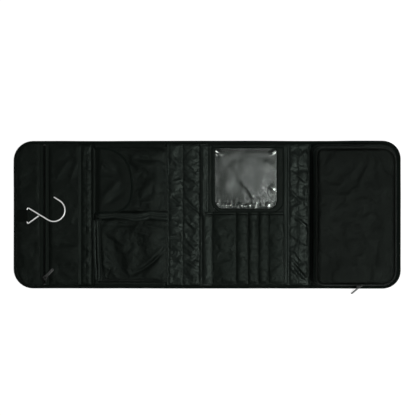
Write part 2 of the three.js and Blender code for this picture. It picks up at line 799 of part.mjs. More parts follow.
function buildBrushPanel() {
  addPiece('brush_panel_shell', panelShell(brushStart, brushEnd, 0, 0), 'nylon');
  addStraightBindings('brush_panel', brushStart, brushEnd);
  const bottom = coreInset - halfWidth;
  const mouthLow = channelMouthY - mouthBinding;
  const seamWall = channelSeamWall(bottom, bottom + seamAllowance);
  const sheet = channelSolid(bottom, mouthLow - fit, 0).add(seamWall);
  addPiece('brush_channel_sheet', sheet, 'lining');
  const tape = channelSolid(mouthLow, channelMouthY, fit);
  addPiece('brush_mouth_binding', tape, 'binding');
}

function buildWindowFlap() {
  const right = windowLeft + windowLength;
  const hem = box(
    windowLeft, right, windowTop + fit, windowTop + fit + windowHemWidth,
    boardTop, boardTop + windowHemThickness,
  );
  addPiece('window_flap_hem', hem, 'nylon');
  const frameBottom = windowHingeZ - windowFrameThickness / 2;
  const turned = (x0, x1, y0, y1, radius) => {
    const shape = new THREE.Shape();
    shape.moveTo(x0, y1);
    shape.lineTo(x0, y0 + radius);
    shape.absarc(x0 + radius, y0 + radius, radius, Math.PI, Math.PI * 1.5, false);
    shape.lineTo(x1 - radius, y0);
    shape.absarc(x1 - radius, y0 + radius, radius, Math.PI * 1.5, Math.PI * 2, false);
    shape.lineTo(x1, y1);
    shape.closePath();
    return shape;
  };
  const outer = plate(
    turned(windowLeft, right, windowBottom, windowTop, windowCorner),
    frameBottom,
    frameBottom + windowFrameThickness,
  );
  const clear = (overlap) => turned(
    windowLeft + windowBorderLeft - overlap,
    right - windowBorderRight + overlap,
    windowBottom + windowBorderBottom - overlap,
    windowTop - windowBorderTop + overlap / 2,
    vinylCorner + overlap,
  );
  const opening = plate(clear(0), 0, boardTop + cutMargin);
  addPiece('window_flap_frame', outer.subtract(opening), 'nylon');
  const sheet = plate(clear(vinylOverlap), boardTop, boardTop + vinylThickness);
  addPiece('clear_window', sheet, 'vinyl');
}

// Pouch

const lidHingeX = pouchEnd - lidHingeInset;
const pouchLow = pouchStart + pouchWallInset;
const pouchHigh = pouchEnd - coreInset - pouchWallInset / 2;
const pouchHalf = halfWidth - coreInset;

// Inset of the pouch wall at a height: full at the base, drawn in towards the lid
const pouchProfile = [
  [boardTop, 0],
  [lowerGussetTop, 0.1],
  [pouchZipTop, 0.3],
  [pouchShoulder, 0.66],
  [pouchHeight, 1],
];

function pouchInset(z) {
  for (let i = 0; i + 1 < pouchProfile.length; i++) {
    const [z0, a] = pouchProfile[i];
    const [z1, b] = pouchProfile[i + 1];
    if (z <= z1) return pouchTopInset * (a + ((b - a) * (z - z0)) / (z1 - z0));
  }
  return pouchTopInset;
}

function pouchRing(z, inward) {
  const inset = pouchInset(z) + inward;
  const lean = (pouchTopLean * (z - boardTop)) / (pouchHeight - boardTop);
  const high = pouchCornerRadius - coreInset;
  return ringPoints(
    pouchLow + inset, pouchHigh - inset, inset - pouchHalf - lean, pouchHalf - inset - lean,
    pouchCornerNear - inward, high - inward, z,
  );
}

function pouchBlock(z0, z1, inward) {
  const heights = pouchProfile.map(([z]) => z).filter((z) => z > z0 && z < z1);
  return loft([z0, ...heights, z1].map((z) => pouchRing(z, inward)));
}

function pouchBand(z0, z1, outward, thickness) {
  const outer = pouchBlock(z0, z1, -outward);
  const inner = pouchBlock(z0, z1, thickness - outward);
  return outer.subtract(inner);
}

const farReach = 1000;

function lidSide(manifold) {
  return manifold.intersect(box(-farReach, lidHingeX - fit / 2, -farReach, farReach, -cutMargin, farReach));
}

function rearSide(manifold) {
  return manifold.intersect(box(lidHingeX + fit / 2, farReach, -farReach, farReach, -cutMargin, farReach));
}

// Teeth stand along the zip on both long sides and the near end, their tips just short of
// the middle so that the lid can rise
function pouchTeethRow(side) {
  const middle = (lowerGussetTop + pouchZipTop) / 2;
  const cord = zipTeethWidth / 2 - zipToothLength / 2 - zipToothGap / 2;
  const outerZ = middle + (side * zipTeethWidth) / 2;
  const innerZ = outerZ - side * cord;
  const tipZ = middle + (side * fit) / 2;
  const tapeEnd = side > 0 ? pouchZipTop - fit : lowerGussetTop + fit;
  const tape = pouchBand(Math.min(outerZ, tapeEnd), Math.max(outerZ, tapeEnd), 0, zipTapeThickness);
  const cordBand = pouchBand(
    Math.min(innerZ, outerZ + side * fit), Math.max(innerZ, outerZ + side * fit), fit, zipTeethHeight,
  );
  const toothBand = pouchBand(
    Math.min(innerZ + side * cord / 2, tipZ), Math.max(innerZ + side * cord / 2, tipZ), fit, zipTeethHeight,
  );
  const width = zipPitch / 2 - zipToothGap;
  const offset = side > 0 ? 0 : zipPitch / 2;
  const cutters = [];
  const straightFrom = pouchLow + pouchCornerNear + zipPitch;
  const xCount = Math.floor((lidHingeX - straightFrom - zipPitch) / zipPitch);
  for (let i = 0; i < xCount; i++) {
    const x = straightFrom + offset + i * zipPitch;
    cutters.push(box(x, x + width, -farReach, farReach, 0, pouchHeight));
  }
  const yFrom = pouchCornerNear + zipPitch - pouchHalf;
  const yCount = Math.floor((-2 * yFrom) / zipPitch);
  for (let i = 0; i < yCount; i++) {
    const y = yFrom + offset + i * zipPitch;
    cutters.push(box(pouchLow - cutMargin, pouchLow + pouchCornerNear, y, y + width, 0, pouchHeight));
  }
  const teeth = toothBand.intersect(wasm.Manifold.union(cutters));
  return lidSide(tape.add(cordBand).add(teeth));
}

function buildPouch() {
  addPiece('pouch_base', panelShell(pouchStart, pouchEnd, 0, pouchCornerRadius), 'nylon');
  addPiece('pouch_binding', panelBinding(pouchStart, pouchEnd, 0, pouchCornerRadius), 'binding');
  addPiece('pouch_lower_gusset', pouchBand(boardTop, lowerGussetTop, 0, pouchWall), 'nylon');
  const rear = rearSide(pouchBand(lowerGussetTop + fit, pouchShoulder - fit, 0, pouchWall));
  addPiece('pouch_rear_gusset', rear, 'nylon');
  const top = pouchTopPlate();
  addPiece('pouch_rear_top', rearSide(top), 'nylon');
  addPiece('pouch_zip_lower_row', pouchTeethRow(-1), 'zipTeeth');
  addPiece('pouch_zip_upper_row', pouchTeethRow(1), 'zipTeeth');
  const gusset = lidSide(pouchBand(pouchZipTop, pouchShoulder - fit, 0, pouchWall));
  addPiece('pouch_lid_gusset', gusset, 'nylon');
  addPiece('pouch_lid_panel', lidSide(top), 'nylon');
  const piping = pouchPiping();
  addPiece('pouch_lid_piping', lidSide(piping), 'binding');
  addPiece('pouch_rear_piping', rearSide(piping), 'binding');
}

const pipingZ = pouchHeight - pipingDiameter / 2;

// The lid's foam panel, inside its corded edge
function pouchTopPlate() {
  const level = (z, inward) => pouchRing(pipingZ, pipingDiameter + inward).map((p) => p.setZ(z));
  return loft([
    level(pouchShoulder, 0),
    level(pouchHeight - liningThickness, 0),
    level(pouchHeight, liningThickness * 2),
  ]);
}

// The corded edge that runs round the lid where it meets the gusset
function pouchPiping() {
  const radius = pipingDiameter / 2;
  const z = pipingZ;
  const rings = [];
  for (let i = 0; i < pipingSides; i++) {
    const angle = (i / pipingSides) * Math.PI * 2;
    const inward = radius * (1 + Math.cos(angle)) - fit;
    rings.push(pouchRing(z, inward).map((p) => p.setZ(z + radius * Math.sin(angle))));
  }
  const count = rings[0].length;
  const position = rings.flat().flatMap((p) => [p.x, p.y, p.z]);
  const index = [];
  for (let level = 0; level < pipingSides; level++) {
    const next = (level + 1) % pipingSides;
    for (let i = 0; i < count; i++) {
      const j = (i + 1) % count;
      const a = level * count + i;
      const b = level * count + j;
      const c = next * count + j;
      const d = next * count + i;
      index.push(a, c, b, a, d, c);
    }
  }
  const geometry = new THREE.BufferGeometry();
  geometry.setAttribute('position', new THREE.Float32BufferAttribute(position, 3));
  geometry.setIndex(index);
  return solid(geometry);
}

function buildPouchZipSlider() {
  const middle = (lowerGussetTop + pouchZipTop) / 2;
  const wallAt = (z) => Math.min(...pouchRing(z, -fit).map((p) => p.y));
  const along = new THREE.Vector3(-1, 0, 0);
  const low = middle - sliderWidth / 2;
  const high = middle + sliderWidth / 2;
  const across = new THREE.Vector3(0, wallAt(high) - wallAt(low), high - low).normalize();
  const out = new THREE.Vector3().crossVectors(across, along).normalize();
  const origin = new THREE.Vector3(lidHingeX - pouchSliderFromHinge, wallAt(middle), middle);
  origin.addScaledVector(out, pouchSliderStandOff);
  addPlaced('pouch_zip_slider', sliderSolid(), 'gunmetal', origin, across, along);
  const bar = new THREE.Vector3().crossVectors(pouchPullDirection, out).normalize();
  const centre = origin.clone().addScaledVector(out, pullBarHeight);
  addPlaced('pouch_zip_pull', pullSolid(), 'gunmetal', centre, bar, pouchPullDirection);
}

buildHookPanel();
buildHookStrap();
buildWireHook();
buildHookZipSlider();
addSpine('narrow_spine', hookEnd, pocketStart);
buildPocketPanel();
buildPocketFlap();
addSpine('wide_spine', pocketEnd, brushStart);
buildBrushPanel();
buildWindowFlap();
addSpine('pouch_spine', brushEnd, pouchStart);
buildPouch();
buildPouchZipSlider();

export default bag;
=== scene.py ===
"""A hanging fold-out toiletry bag, lying open: sewn cloth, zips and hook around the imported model."""

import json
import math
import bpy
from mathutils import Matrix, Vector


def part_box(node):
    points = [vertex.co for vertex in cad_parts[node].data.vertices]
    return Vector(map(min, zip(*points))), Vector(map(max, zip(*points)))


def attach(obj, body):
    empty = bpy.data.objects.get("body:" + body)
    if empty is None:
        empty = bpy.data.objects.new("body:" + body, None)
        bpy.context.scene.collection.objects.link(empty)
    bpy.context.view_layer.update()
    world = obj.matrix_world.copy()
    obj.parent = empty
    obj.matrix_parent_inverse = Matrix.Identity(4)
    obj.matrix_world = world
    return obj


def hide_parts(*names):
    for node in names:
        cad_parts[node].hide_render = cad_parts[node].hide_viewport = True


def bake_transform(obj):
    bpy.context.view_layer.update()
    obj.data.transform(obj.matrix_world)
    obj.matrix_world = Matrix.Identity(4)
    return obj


bl_info = {
    "name": "Fold-out Toiletry Bag",
    "version": (1, 0, 0),
    "blender": (4, 5, 0),
    "location": "3D View > Sidebar > Bag",
    "description": "Builds an open hanging toiletry bag of sewn nylon, piece by piece",
    "category": "Object",
}

import bpy
import numpy as np
from mathutils import Vector

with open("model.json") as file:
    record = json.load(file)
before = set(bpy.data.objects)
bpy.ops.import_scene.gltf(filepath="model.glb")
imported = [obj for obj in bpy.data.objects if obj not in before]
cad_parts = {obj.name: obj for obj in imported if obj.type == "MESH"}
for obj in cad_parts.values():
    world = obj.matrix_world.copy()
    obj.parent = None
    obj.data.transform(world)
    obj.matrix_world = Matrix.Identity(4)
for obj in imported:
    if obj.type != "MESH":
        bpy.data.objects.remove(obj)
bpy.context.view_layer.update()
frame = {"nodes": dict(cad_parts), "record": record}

MM = 0.001
UP = np.array([0.0, 0.0, 1.0])
JOINTS = {joint["name"]: joint for joint in frame["record"]["behaviour"]["joints"]}


def joint_at(name):
    return np.array(JOINTS[name]["pos_m"], float)


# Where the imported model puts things
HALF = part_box("hook_panel_binding")[1][1]
HOOK_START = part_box("hook_panel_binding")[0][0]
HOOK_END = joint_at("hook_panel_fold")[0]
POCKET_START = joint_at("narrow_spine_fold")[0]
POCKET_END = joint_at("pocket_panel_fold")[0]
BRUSH_START = joint_at("wide_spine_fold")[0]
BRUSH_END = joint_at("pouch_spine_fold")[0]
POUCH_START = joint_at("pouch_fold")[0]
POUCH_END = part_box("pouch_binding")[1][0]
LID_HINGE = joint_at("pouch_lid_lift")
ZIP_X = joint_at("hook_pull_lift")[0]
BOARD_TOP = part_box("hook_lining_left")[0][2]
TAPE_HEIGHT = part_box("hook_panel_binding")[1][2]

# Sizes that the panels share
HOOK_CORNER = 35 * MM
POUCH_CORNER = 32 * MM
HINGE_SETBACK = 3.5 * MM
TAPE_WIDTH = 5.5 * MM
LINING_INSET = 4.6 * MM
# From a panel's edge to its board and to the cloth of the spines
PINCH = 1.3 * MM
# From the inner edge of the edge tape to its seam
TAPE_SEAM = 1.5 * MM
# From one point to the next along an edge, and across a board or the hook panel's lining
EDGE_STEP = 2.5 * MM
BOARD_STEP = 2.6 * MM
# Thickness of the pouch's wall, the tapes of its zip, the flap and the window
WALL_THICKNESS = 1.2 * MM
ZIP_TAPE_THICKNESS = 0.7 * MM
FLAP_THICKNESS = 0.8 * MM
VINYL_THICKNESS = 0.35 * MM
# A zip tooth's length, width and height, and how far each row stands from the zip's middle
TOOTH = (1.35 * MM, 2.6 * MM, 1.2 * MM)
TOOTH_ROW = 0.95 * MM
# Rounding of the sliders and of the pulls
SLIDER_BEVEL = 0.3 * MM
PULL_BEVEL = 0.28 * MM


# What a user may change

def amount(name, description, default, **kind):
    return bpy.props.FloatProperty(name=name, description=description, default=default, **kind)


class BagSizes(bpy.types.PropertyGroup):
    stitch_pitch: amount("Stitch pitch", "From one stitch to the next", 3.2 * MM, unit="LENGTH")
    stitch_length: amount("Stitch length", "Length of the thread that shows", 2.3 * MM, unit="LENGTH")
    thread_width: amount("Thread width", "Thickness of the sewing thread", 0.45 * MM, unit="LENGTH")
    tooth_pitch: amount("Zip tooth pitch", "From one tooth to the next in a row", 2.6 * MM, unit="LENGTH")
    cloth_thickness: amount("Cloth thickness", "Thickness of the lining cloth", 0.5 * MM, unit="LENGTH")
    wrinkle_depth: amount("Wrinkle depth", "How much the sewn cloth buckles", 1.0, subtype="FACTOR")


def colour_property(name, description, default):
    return bpy.props.FloatVectorProperty(
        name=name, description=description, default=default, subtype="COLOR", size=3, min=0, max=1)


class BagColours(bpy.types.PropertyGroup):
    nylon: colour_property("Nylon", "Woven outer nylon", (0.0040, 0.0060, 0.0047))
    pouch: colour_property("Pouch nylon", "Matt nylon of the pouch", (0.0050, 0.0056, 0.0048))
    lining: colour_property("Lining", "Lining cloth of the panels", (0.0088, 0.0128, 0.0101))
    satin: colour_property("Spine lining", "Light shiny cloth of the spines", (0.0155, 0.0207, 0.0178))
    binding: colour_property("Binding", "Ribbed edge tape", (0.0124, 0.0180, 0.0149))
    webbing: colour_property("Webbing", "Strap of the hook", (0.0046, 0.0066, 0.0053))
    thread: colour_property("Thread", "Sewing thread", (0.0085, 0.0115, 0.0095))
    teeth: colour_property("Zip teeth", "Moulded zip teeth", (0.0045, 0.0058, 0.005))
    vinyl: colour_property("Window", "Clear vinyl", (0.03, 0.036, 0.032))
    steel: colour_property("Hook", "Bright plated wire", (0.78, 0.79, 0.77))
    gunmetal: colour_property("Zip pulls", "Dark nickel plating", (0.13, 0.135, 0.13))
    # Painted shade: the sliders take a darker copy of the pulls' plating, standing in for the light that they
    # do not catch
    slider: colour_property("Zip sliders", "Darker plating of the sliders", (0.045, 0.048, 0.045))


class StageSettings(bpy.types.PropertyGroup):
    camera_height: amount("Camera height", "Height of the camera over the floor", 2.4, unit="LENGTH")
    view_width: amount("View width", "Width of the floor that the picture takes in", 0.77, unit="LENGTH")
    key_light: amount("Key light", "Power of the large soft light above the pouch's side", 8.2, unit="POWER")
    side_light: amount("Side lights", "Power of each narrow light beside the bag", 0.3, unit="POWER")
    top_light: amount("Top light", "Power of the small soft light over the bag", 0.53, unit="POWER")
    metal_light: amount("Metal light", "Power of the wide light on the hook", 20.0, unit="POWER")
    vinyl_light: amount("Window light", "Power of the two small lights on the window", 3.0, unit="POWER")
    room_light: amount("Room light", "Strength of the even light all round", 0.03)


# Noise and folds, from coordinates in metres

def value_noise(x, y, seed):
    column, row = np.floor(x), np.floor(y)
    u, v = x - column, y - row
    u, v = u * u * (3 - 2 * u), v * v * (3 - 2 * v)

    def corner(i, j):
        value = np.sin((column + i) * 127.1 + (row + j) * 311.7 + seed * 74.7) * 43758.5453
        return value - np.floor(value)

    low = corner(0, 0) * (1 - u) + corner(1, 0) * u
    high = corner(0, 1) * (1 - u) + corner(1, 1) * u
    return low * (1 - v) + high * v


def cloud(x, y, size, seed):
    """Soft uneven height between -1 and 1, over about size."""
    wide = value_noise(x / size, y / size, seed)
    fine = value_noise(x / size * 2.3 + 5, y / size * 2.3, seed + 1)
    return (wide * 2 + fine) / 1.5 - 1


def creases(x, y, angle, length, width, seed):
    """Thin ridges from 0 to 1 that run at an angle."""
    along = x * math.cos(angle) + y * math.sin(angle)
    across = y * math.cos(angle) - x * math.sin(angle)
    across = across + 0.8 * width * cloud(x, y, 2.5 * width, seed + 3)
    noise = value_noise(along / length, across / width, seed)
    return (1 - np.abs(2 * noise - 1)) ** 4


def folds(x, y, lines):
    """Folds along straight lines in millimetres: (x0, y0, x1, y1, width, height)."""
    total = np.zeros_like(x)
    x, y = x + 2.4 * MM * cloud(x, y, 30 * MM, 5), y + 2.4 * MM * cloud(x, y, 30 * MM, 6)
    for x0, y0, x1, y1, width, height in lines:
        start = np.array([x0, y0]) * MM
        run = np.array([x1, y1]) * MM - start
        t = np.clip(((x - start[0]) * run[0] + (y - start[1]) * run[1]) / (run @ run), 0, 1)
        away = np.hypot(x - start[0] - t * run[0], y - start[1] - t * run[1])
        end = np.sin(np.pi * np.clip(t, 0.04, 0.96)) ** 0.5
        total += height * MM * end * np.exp(-((away / (width * MM)) ** 2))
    return total


def ease(low, high, value):
    """Goes smoothly from 0 at low to 1 at high, whichever of them is larger."""
    t = np.clip((value - low) / (high - low), 0, 1)
    return t * t * (3 - 2 * t)


# Meshes

def steps(start, end, size):
    """Even places from start to end, about size apart."""
    return np.linspace(start, end, max(2, int(round(abs(end - start) / size)) + 1))


def placed(name, data):
    """A new object in the scene."""
    made = bpy.data.objects.new(name, data)
    bpy.context.scene.collection.objects.link(made)
    return made


def piece(name, points, faces, material_name):
    """A mesh object with outward faces, its place in its vertices."""
    points = np.asarray(points, float).reshape(-1, 3)
    mesh = bpy.data.meshes.new(name)
    mesh.from_pydata(points.tolist(), [], [list(map(int, f)) for f in faces])
    mesh.shade_smooth()
    mesh.materials.append(material(material_name))
    return placed(name, mesh)


def volume_of(points, faces):
    """Six times the volume, below zero where the faces look inwards."""
    total = 0.0
    for face in faces:
        corners = points[list(face)]
        for i in range(1, len(face) - 1):
            total += corners[0] @ np.cross(corners[i], corners[i + 1])
    return total


def grid_faces(rows, columns, round_columns=False):
    index = np.arange(rows * columns).reshape(rows, columns)
    if round_columns:
        index = np.concatenate([index, index[:, :1]], axis=1)
    return np.stack([index[:-1, :-1], index[:-1, 1:], index[1:, 1:], index[1:, :-1]], -1).reshape(-1, 4)


def border_of(rows, columns):
    """The points round a grid, in order."""
    index = np.arange(rows * columns).reshape(rows, columns)
    return np.concatenate([index[0, :-1], index[:-1, -1], index[-1, :0:-1], index[:0:-1, 0]])


def slab(name, top, bottom, material_name):
    """A closed body between two grids of points, the top one seen from above."""
    rows, columns = top.shape[:2]
    count = rows * columns
    faces = grid_faces(rows, columns)
    edge = border_of(rows, columns)
    after = np.roll(edge, -1)
    sides = np.stack([edge + count, after + count, after, edge], -1)
    every = np.concatenate([faces, faces[:, ::-1] + count, sides])
    points = np.concatenate([top.reshape(-1, 3), bottom.reshape(-1, 3)])
    return piece(name, points, every, material_name)


def tube(name, rings, material_name, closed=False):
    """A closed skin through rings of points; open runs are capped."""
    rings = np.asarray(rings, float)
    rows, columns = rings.shape[:2]
    every = list(grid_faces(rows, columns, True))
    around = np.arange(columns)
    if closed:
        end = around + (rows - 1) * columns
        every += list(np.stack([end, np.roll(end, -1), np.roll(around, -1), around], -1))
    else:
        every += [around[::-1], around + (rows - 1) * columns]
    points = rings.reshape(-1, 3)
    if volume_of(points, every) < 0:
        every = [list(face)[::-1] for face in every]
    made = piece(name, points, every, material_name)
    add_ribbon_map(made, rings)
    return made


def distances(path):
    """How far each point of a path lies along it."""
    return np.concatenate([[0], np.cumsum(np.linalg.norm(np.diff(path, axis=0), axis=1))])


def add_ribbon_map(made, rings):
    """UV in metres: U along the run, V round the section."""
    rows, columns = rings.shape[:2]
    along = distances(rings.mean(axis=1))
    section = np.linalg.norm(np.diff(rings[rows // 2], axis=0, append=rings[rows // 2][:1]), axis=1)
    around = np.concatenate([[0], np.cumsum(section)])[:-1]
    layer = made.data.uv_layers.new(name="ribbon")
    vertex = np.empty(len(made.data.loops), int)
    made.data.loops.foreach_get("vertex_index", vertex)
    flat = np.stack([along[vertex // columns], around[vertex % columns]], -1)
    layer.data.foreach_set("uv", flat.reshape(-1))


def frames_along(path, closed=False):
    """The side of each point of a level path that lies to the right of its run."""
    if closed:
        run = np.roll(path, -1, axis=0) - np.roll(path, 1, axis=0)
    else:
        run = np.gradient(path, axis=0)
    run[:, 2] = 0
    run /= np.linalg.norm(run, axis=1)[:, None]
    return np.stack([run[:, 1], -run[:, 0], np.zeros(len(run))], -1)


def sweep(name, path, section, material_name, closed=False, side_gain=None, up_gain=None):
    """A section of (side, up) points carried along a level path."""
    path = np.asarray(path, float)
    side = frames_along(path, closed)
    section = np.asarray(section, float)
    wide = np.ones(len(path)) if side_gain is None else side_gain
    tall = np.ones(len(path)) if up_gain is None else up_gain
    rings = (
        path[:, None]
        + side[:, None] * section[None, :, 0, None] * wide[:, None, None]
        + UP * section[None, :, 1, None] * tall[:, None, None]
    )
    return tube(name, rings, material_name, closed)


def rounded_edges(x0, x1, y0, y1, low, high):
    """For a rectangle with round corners, the ends in X of the row at each Y."""
    def edges(y):
        inside = np.minimum(y - y0, y1 - y)

        def cut(radius):
            if radius <= 0:
                return 0.0
            rest = radius - min(max(inside, 0.0), radius)
            return radius - math.sqrt(max(radius * radius - rest * rest, 0.0))

        return x0 + cut(low), x1 - cut(high)
    return edges


def corner_rows(y0, y1, radius, size):
    """Rows across a sheet, closer together where its corners are round."""
    if radius <= 0:
        return steps(y0, y1, size)
    turn = radius * (1 - np.cos(np.linspace(0, math.pi / 2, 9)))
    middle = steps(y0 + radius, y1 - radius, size)
    return np.concatenate([y0 + turn[:-1], middle, (y1 - turn[:-1])[::-1]])


def sheet_grid(edges, rows, columns, height):
    """Points of a sheet, row by row; columns is their number or their shares of the width."""
    share = np.linspace(0, 1, columns) if isinstance(columns, int) else columns
    flat = np.array([[(a + (b - a) * t, y) for t in share] for y in rows for a, b in [edges(y)]])
    z = height(flat[..., 0], flat[..., 1])
    return np.dstack([flat, z])


def outline(x0, x1, y0, y1, low, high):
    """Points round a rectangle with round corners, starting at the middle of its low-Y side."""
    points = []

    def run(start, end):
        for t in steps(0, 1, EDGE_STEP / max(math.dist(start, end), EDGE_STEP))[:-1]:
            points.append((start[0] + (end[0] - start[0]) * t, start[1] + (end[1] - start[1]) * t))

    def turn(x, y, radius, start):
        for angle in np.linspace(start, start + math.pi / 2, 10)[:-1]:
            points.append((x + radius * math.cos(angle), y + radius * math.sin(angle)))

    middle = ((x0 + x1) / 2, y0)
    run(middle, (x1 - high, y0))
    turn(x1 - high, y0 + high, high, -math.pi / 2)
    run((x1, y0 + high), (x1, y1 - high))
    turn(x1 - high, y1 - high, high, 0)
    run((x1 - high, y1), (x0 + low, y1))
    turn(x0 + low, y1 - low, low, math.pi / 2)
    run((x0, y1 - low), (x0, y0 + low))
    turn(x0 + low, y0 + low, low, math.pi)
    run((x0 + low, y0), middle)
    return np.array(points)


def line(x, y, z):
    """A path; each coordinate is one number, or one for each point."""
    return np.stack(np.broadcast_arrays(x, y, z), -1)


def at_height(path, z):
    """A level path, or one whose height changes from point to point."""
    path = np.asarray(path, float)
    return np.column_stack([path[:, :2], np.broadcast_to(z, len(path))])


def finish_modifiers(made):
    """Turns what an object's modifiers make into its own plain mesh."""
    graph = bpy.context.evaluated_depsgraph_get()
    mesh = bpy.data.meshes.new_from_object(made.evaluated_get(graph))
    made.modifiers.clear()
    made.data = mesh
    mesh.name = made.name
    mesh.shade_smooth()
    return made


# Cloth that buckles between its seams. It starts a little uneven, by this height and over this width,
# and settles for this many frames.
START_HEIGHT = 0.5 * MM
START_WIDTH = 1.7 * MM
SETTLE_FRAMES = 22


class Cloth:
    """One sheet that is sewn where sewn is true and grows until it buckles."""

    def __init__(self, name, grid, sewn, grow, bending, lift, sink):
        self.name, self.grid, self.lift, self.sink = name, grid, lift, sink
        rows, columns = grid.shape[:2]
        self.made = None
        seed = value_noise(grid[..., 0] / START_WIDTH, grid[..., 1] / START_WIDTH, 7) - 0.5
        start = grid + UP * (seed * START_HEIGHT * ~sewn)[..., None]
        mesh = bpy.data.meshes.new(name)
        mesh.from_pydata(start.reshape(-1, 3).tolist(), [], grid_faces(rows, columns).tolist())
        self.made = placed(name, mesh)
        group = self.made.vertex_groups.new(name="sewn")
        group.add(np.flatnonzero(sewn.reshape(-1)).tolist(), 1.0, "REPLACE")
        settle = self.made.modifiers.new("settle", "CLOTH")
        settle.collision_settings.use_collision = False
        cloth = settle.settings
        cloth.quality = 5
        cloth.mass = 0.15
        cloth.tension_stiffness = cloth.compression_stiffness = 10
        cloth.shear_stiffness = 5
        cloth.bending_stiffness = bending
        cloth.vertex_group_mass = "sewn"
        cloth.shrink_min = cloth.shrink_max = -grow
        cloth.effector_weights.gravity = 0

    def settled(self, depth):
        """The sheet's points after the buckling, kept between its highest lift and its deepest sink."""
        if self.made is None:
            wave = creases(self.grid[..., 0], self.grid[..., 1], 0.5, 20 * MM, 7 * MM, 3)
            return self.grid + UP * (wave * self.lift * 0.5)[..., None]
        graph = bpy.context.evaluated_depsgraph_get()
        mesh = self.made.evaluated_get(graph).data
        found = np.empty(len(mesh.vertices) * 3)
        mesh.vertices.foreach_get("co", found)
        moved = (found.reshape(self.grid.shape) - self.grid) * depth
        high = self.lift * np.tanh(np.maximum(moved[..., 2], 0) / self.lift)
        low = self.sink * np.tanh(np.minimum(moved[..., 2], 0) / self.sink)
        bpy.data.objects.remove(self.made)
        return self.grid + np.dstack([moved[..., :2], high + low])


def sewn_edges(grid):
    """True for the points along a sheet's four sides."""
    sewn = np.zeros(grid.shape[:2], bool)
    sewn[0] = sewn[-1] = True
    sewn[:, 0] = sewn[:, -1] = True
    return sewn


def settle_all(cloths, depth):
    """Lets the sheets buckle together, and gives the points of each."""
    for number in range(1, SETTLE_FRAMES + 1):
        bpy.context.scene.frame_set(number)
    grids = [cloth.settled(depth) for cloth in cloths]
    bpy.context.scene.frame_set(1)
    return grids


def sewn_sheet(name, grid, thickness, material_name):
    """A thin closed sheet whose top is the grid, made smooth."""
    rows, columns = grid.shape[:2]
    made = piece(name, grid, grid_faces(rows, columns), material_name)
    smooth = made.modifiers.new("smooth", "SUBSURF")
    smooth.levels = smooth.render_levels = 1
    smooth.boundary_smooth = "PRESERVE_CORNERS"
    wall = made.modifiers.new("wall", "SOLIDIFY")
    wall.thickness = thickness
    wall.offset = -1
    return finish_modifiers(made)


# Materials

def node(tree, kind, inputs=None, **settings):
    made = tree.nodes.new(kind)
    for key, value in settings.items():
        setattr(made, key, value)
    for key, value in (inputs or {}).items():
        if isinstance(value, bpy.types.NodeSocket):
            tree.links.new(value, made.inputs[key])
        else:
            made.inputs[key].default_value = value
    return made


def maths(tree, operation, a, b=0.0):
    return node(tree, "ShaderNodeMath", {0: a, 1: b}, operation=operation).outputs[0]


def group_with(name, inputs, outputs):
    """An empty shader node group with named inputs, and its two ends."""
    tree = bpy.data.node_groups.new(name, "ShaderNodeTree")
    kinds = {"value": "NodeSocketFloat", "colour": "NodeSocketColor", "vector": "NodeSocketVector"}
    for label, kind, default in inputs:
        socket = tree.interface.new_socket(name=label, in_out="INPUT", socket_type=kinds[kind])
        if default is not None:
            socket.default_value = default
    for label, kind in outputs:
        tree.interface.new_socket(name=label, in_out="OUTPUT", socket_type=kinds[kind])
    return tree, tree.nodes.new("NodeGroupInput"), tree.nodes.new("NodeGroupOutput")


def cloth_group():
    """Weave, cloudy colour and uneven roughness of a woven cloth, from a vector in metres."""
    tree = bpy.data.node_groups.get("woven cloth")
    if tree:
        return tree
    tree, start, end = group_with(
        "woven cloth",
        [("Vector", "vector", None), ("Threads", "value", 3000.0), ("Thread ratio", "value", 1.0),
         ("Dark", "colour", (0.005, 0.006, 0.005, 1)), ("Light", "colour", (0.01, 0.012, 0.01, 1)),
         ("Roughness", "value", 0.5), ("Roughness change", "value", 0.1), ("Cloud scale", "value", 26.0)],
        [("Color", "colour"), ("Roughness", "value"), ("Height", "value")],
    )
    vector, threads = start.outputs["Vector"], start.outputs["Threads"]
    scaled = node(tree, "ShaderNodeVectorMath", {0: vector, "Scale": threads}, operation="SCALE").outputs[0]
    parts = node(tree, "ShaderNodeSeparateXYZ", {0: scaled})
    second = maths(tree, "MULTIPLY", parts.outputs[1], start.outputs["Thread ratio"])
    waves = [maths(tree, "SINE", value) for value in (parts.outputs[0], second, parts.outputs[2])]
    crossing = maths(tree, "MULTIPLY", waves[0], waves[1])
    upright = maths(tree, "MULTIPLY", waves[2], maths(tree, "ADD", waves[0], waves[1]))
    weave = maths(tree, "ADD", crossing, maths(tree, "MULTIPLY", upright, 0.5))
    wide = node(tree, "ShaderNodeTexNoise", {
        "Vector": vector, "Scale": start.outputs["Cloud scale"], "Detail": 4.0, "Roughness": 0.6,
    }).outputs["Fac"]
    fine = node(tree, "ShaderNodeTexNoise", {"Vector": vector, "Scale": 700.0, "Detail": 2.0}).outputs["Fac"]
    share = maths(tree, "ADD", maths(tree, "MULTIPLY", wide, 1.5), maths(tree, "MULTIPLY", fine, 0.5))
    share = maths(tree, "ADD", maths(tree, "MULTIPLY", weave, 0.12), maths(tree, "SUBTRACT", share, 0.5))
    mixed = node(tree, "ShaderNodeMix", {
        0: share, 6: start.outputs["Dark"], 7: start.outputs["Light"],
    }, data_type="RGBA").outputs[2]
    change = maths(tree, "MULTIPLY", maths(tree, "SUBTRACT", wide, 0.5), start.outputs["Roughness change"])
    rough = maths(tree, "ADD", start.outputs["Roughness"], maths(tree, "MULTIPLY", change, 4.0))
    tree.links.new(mixed, end.inputs["Color"])
    tree.links.new(rough, end.inputs["Roughness"])
    tree.links.new(weave, end.inputs["Height"])
    return tree


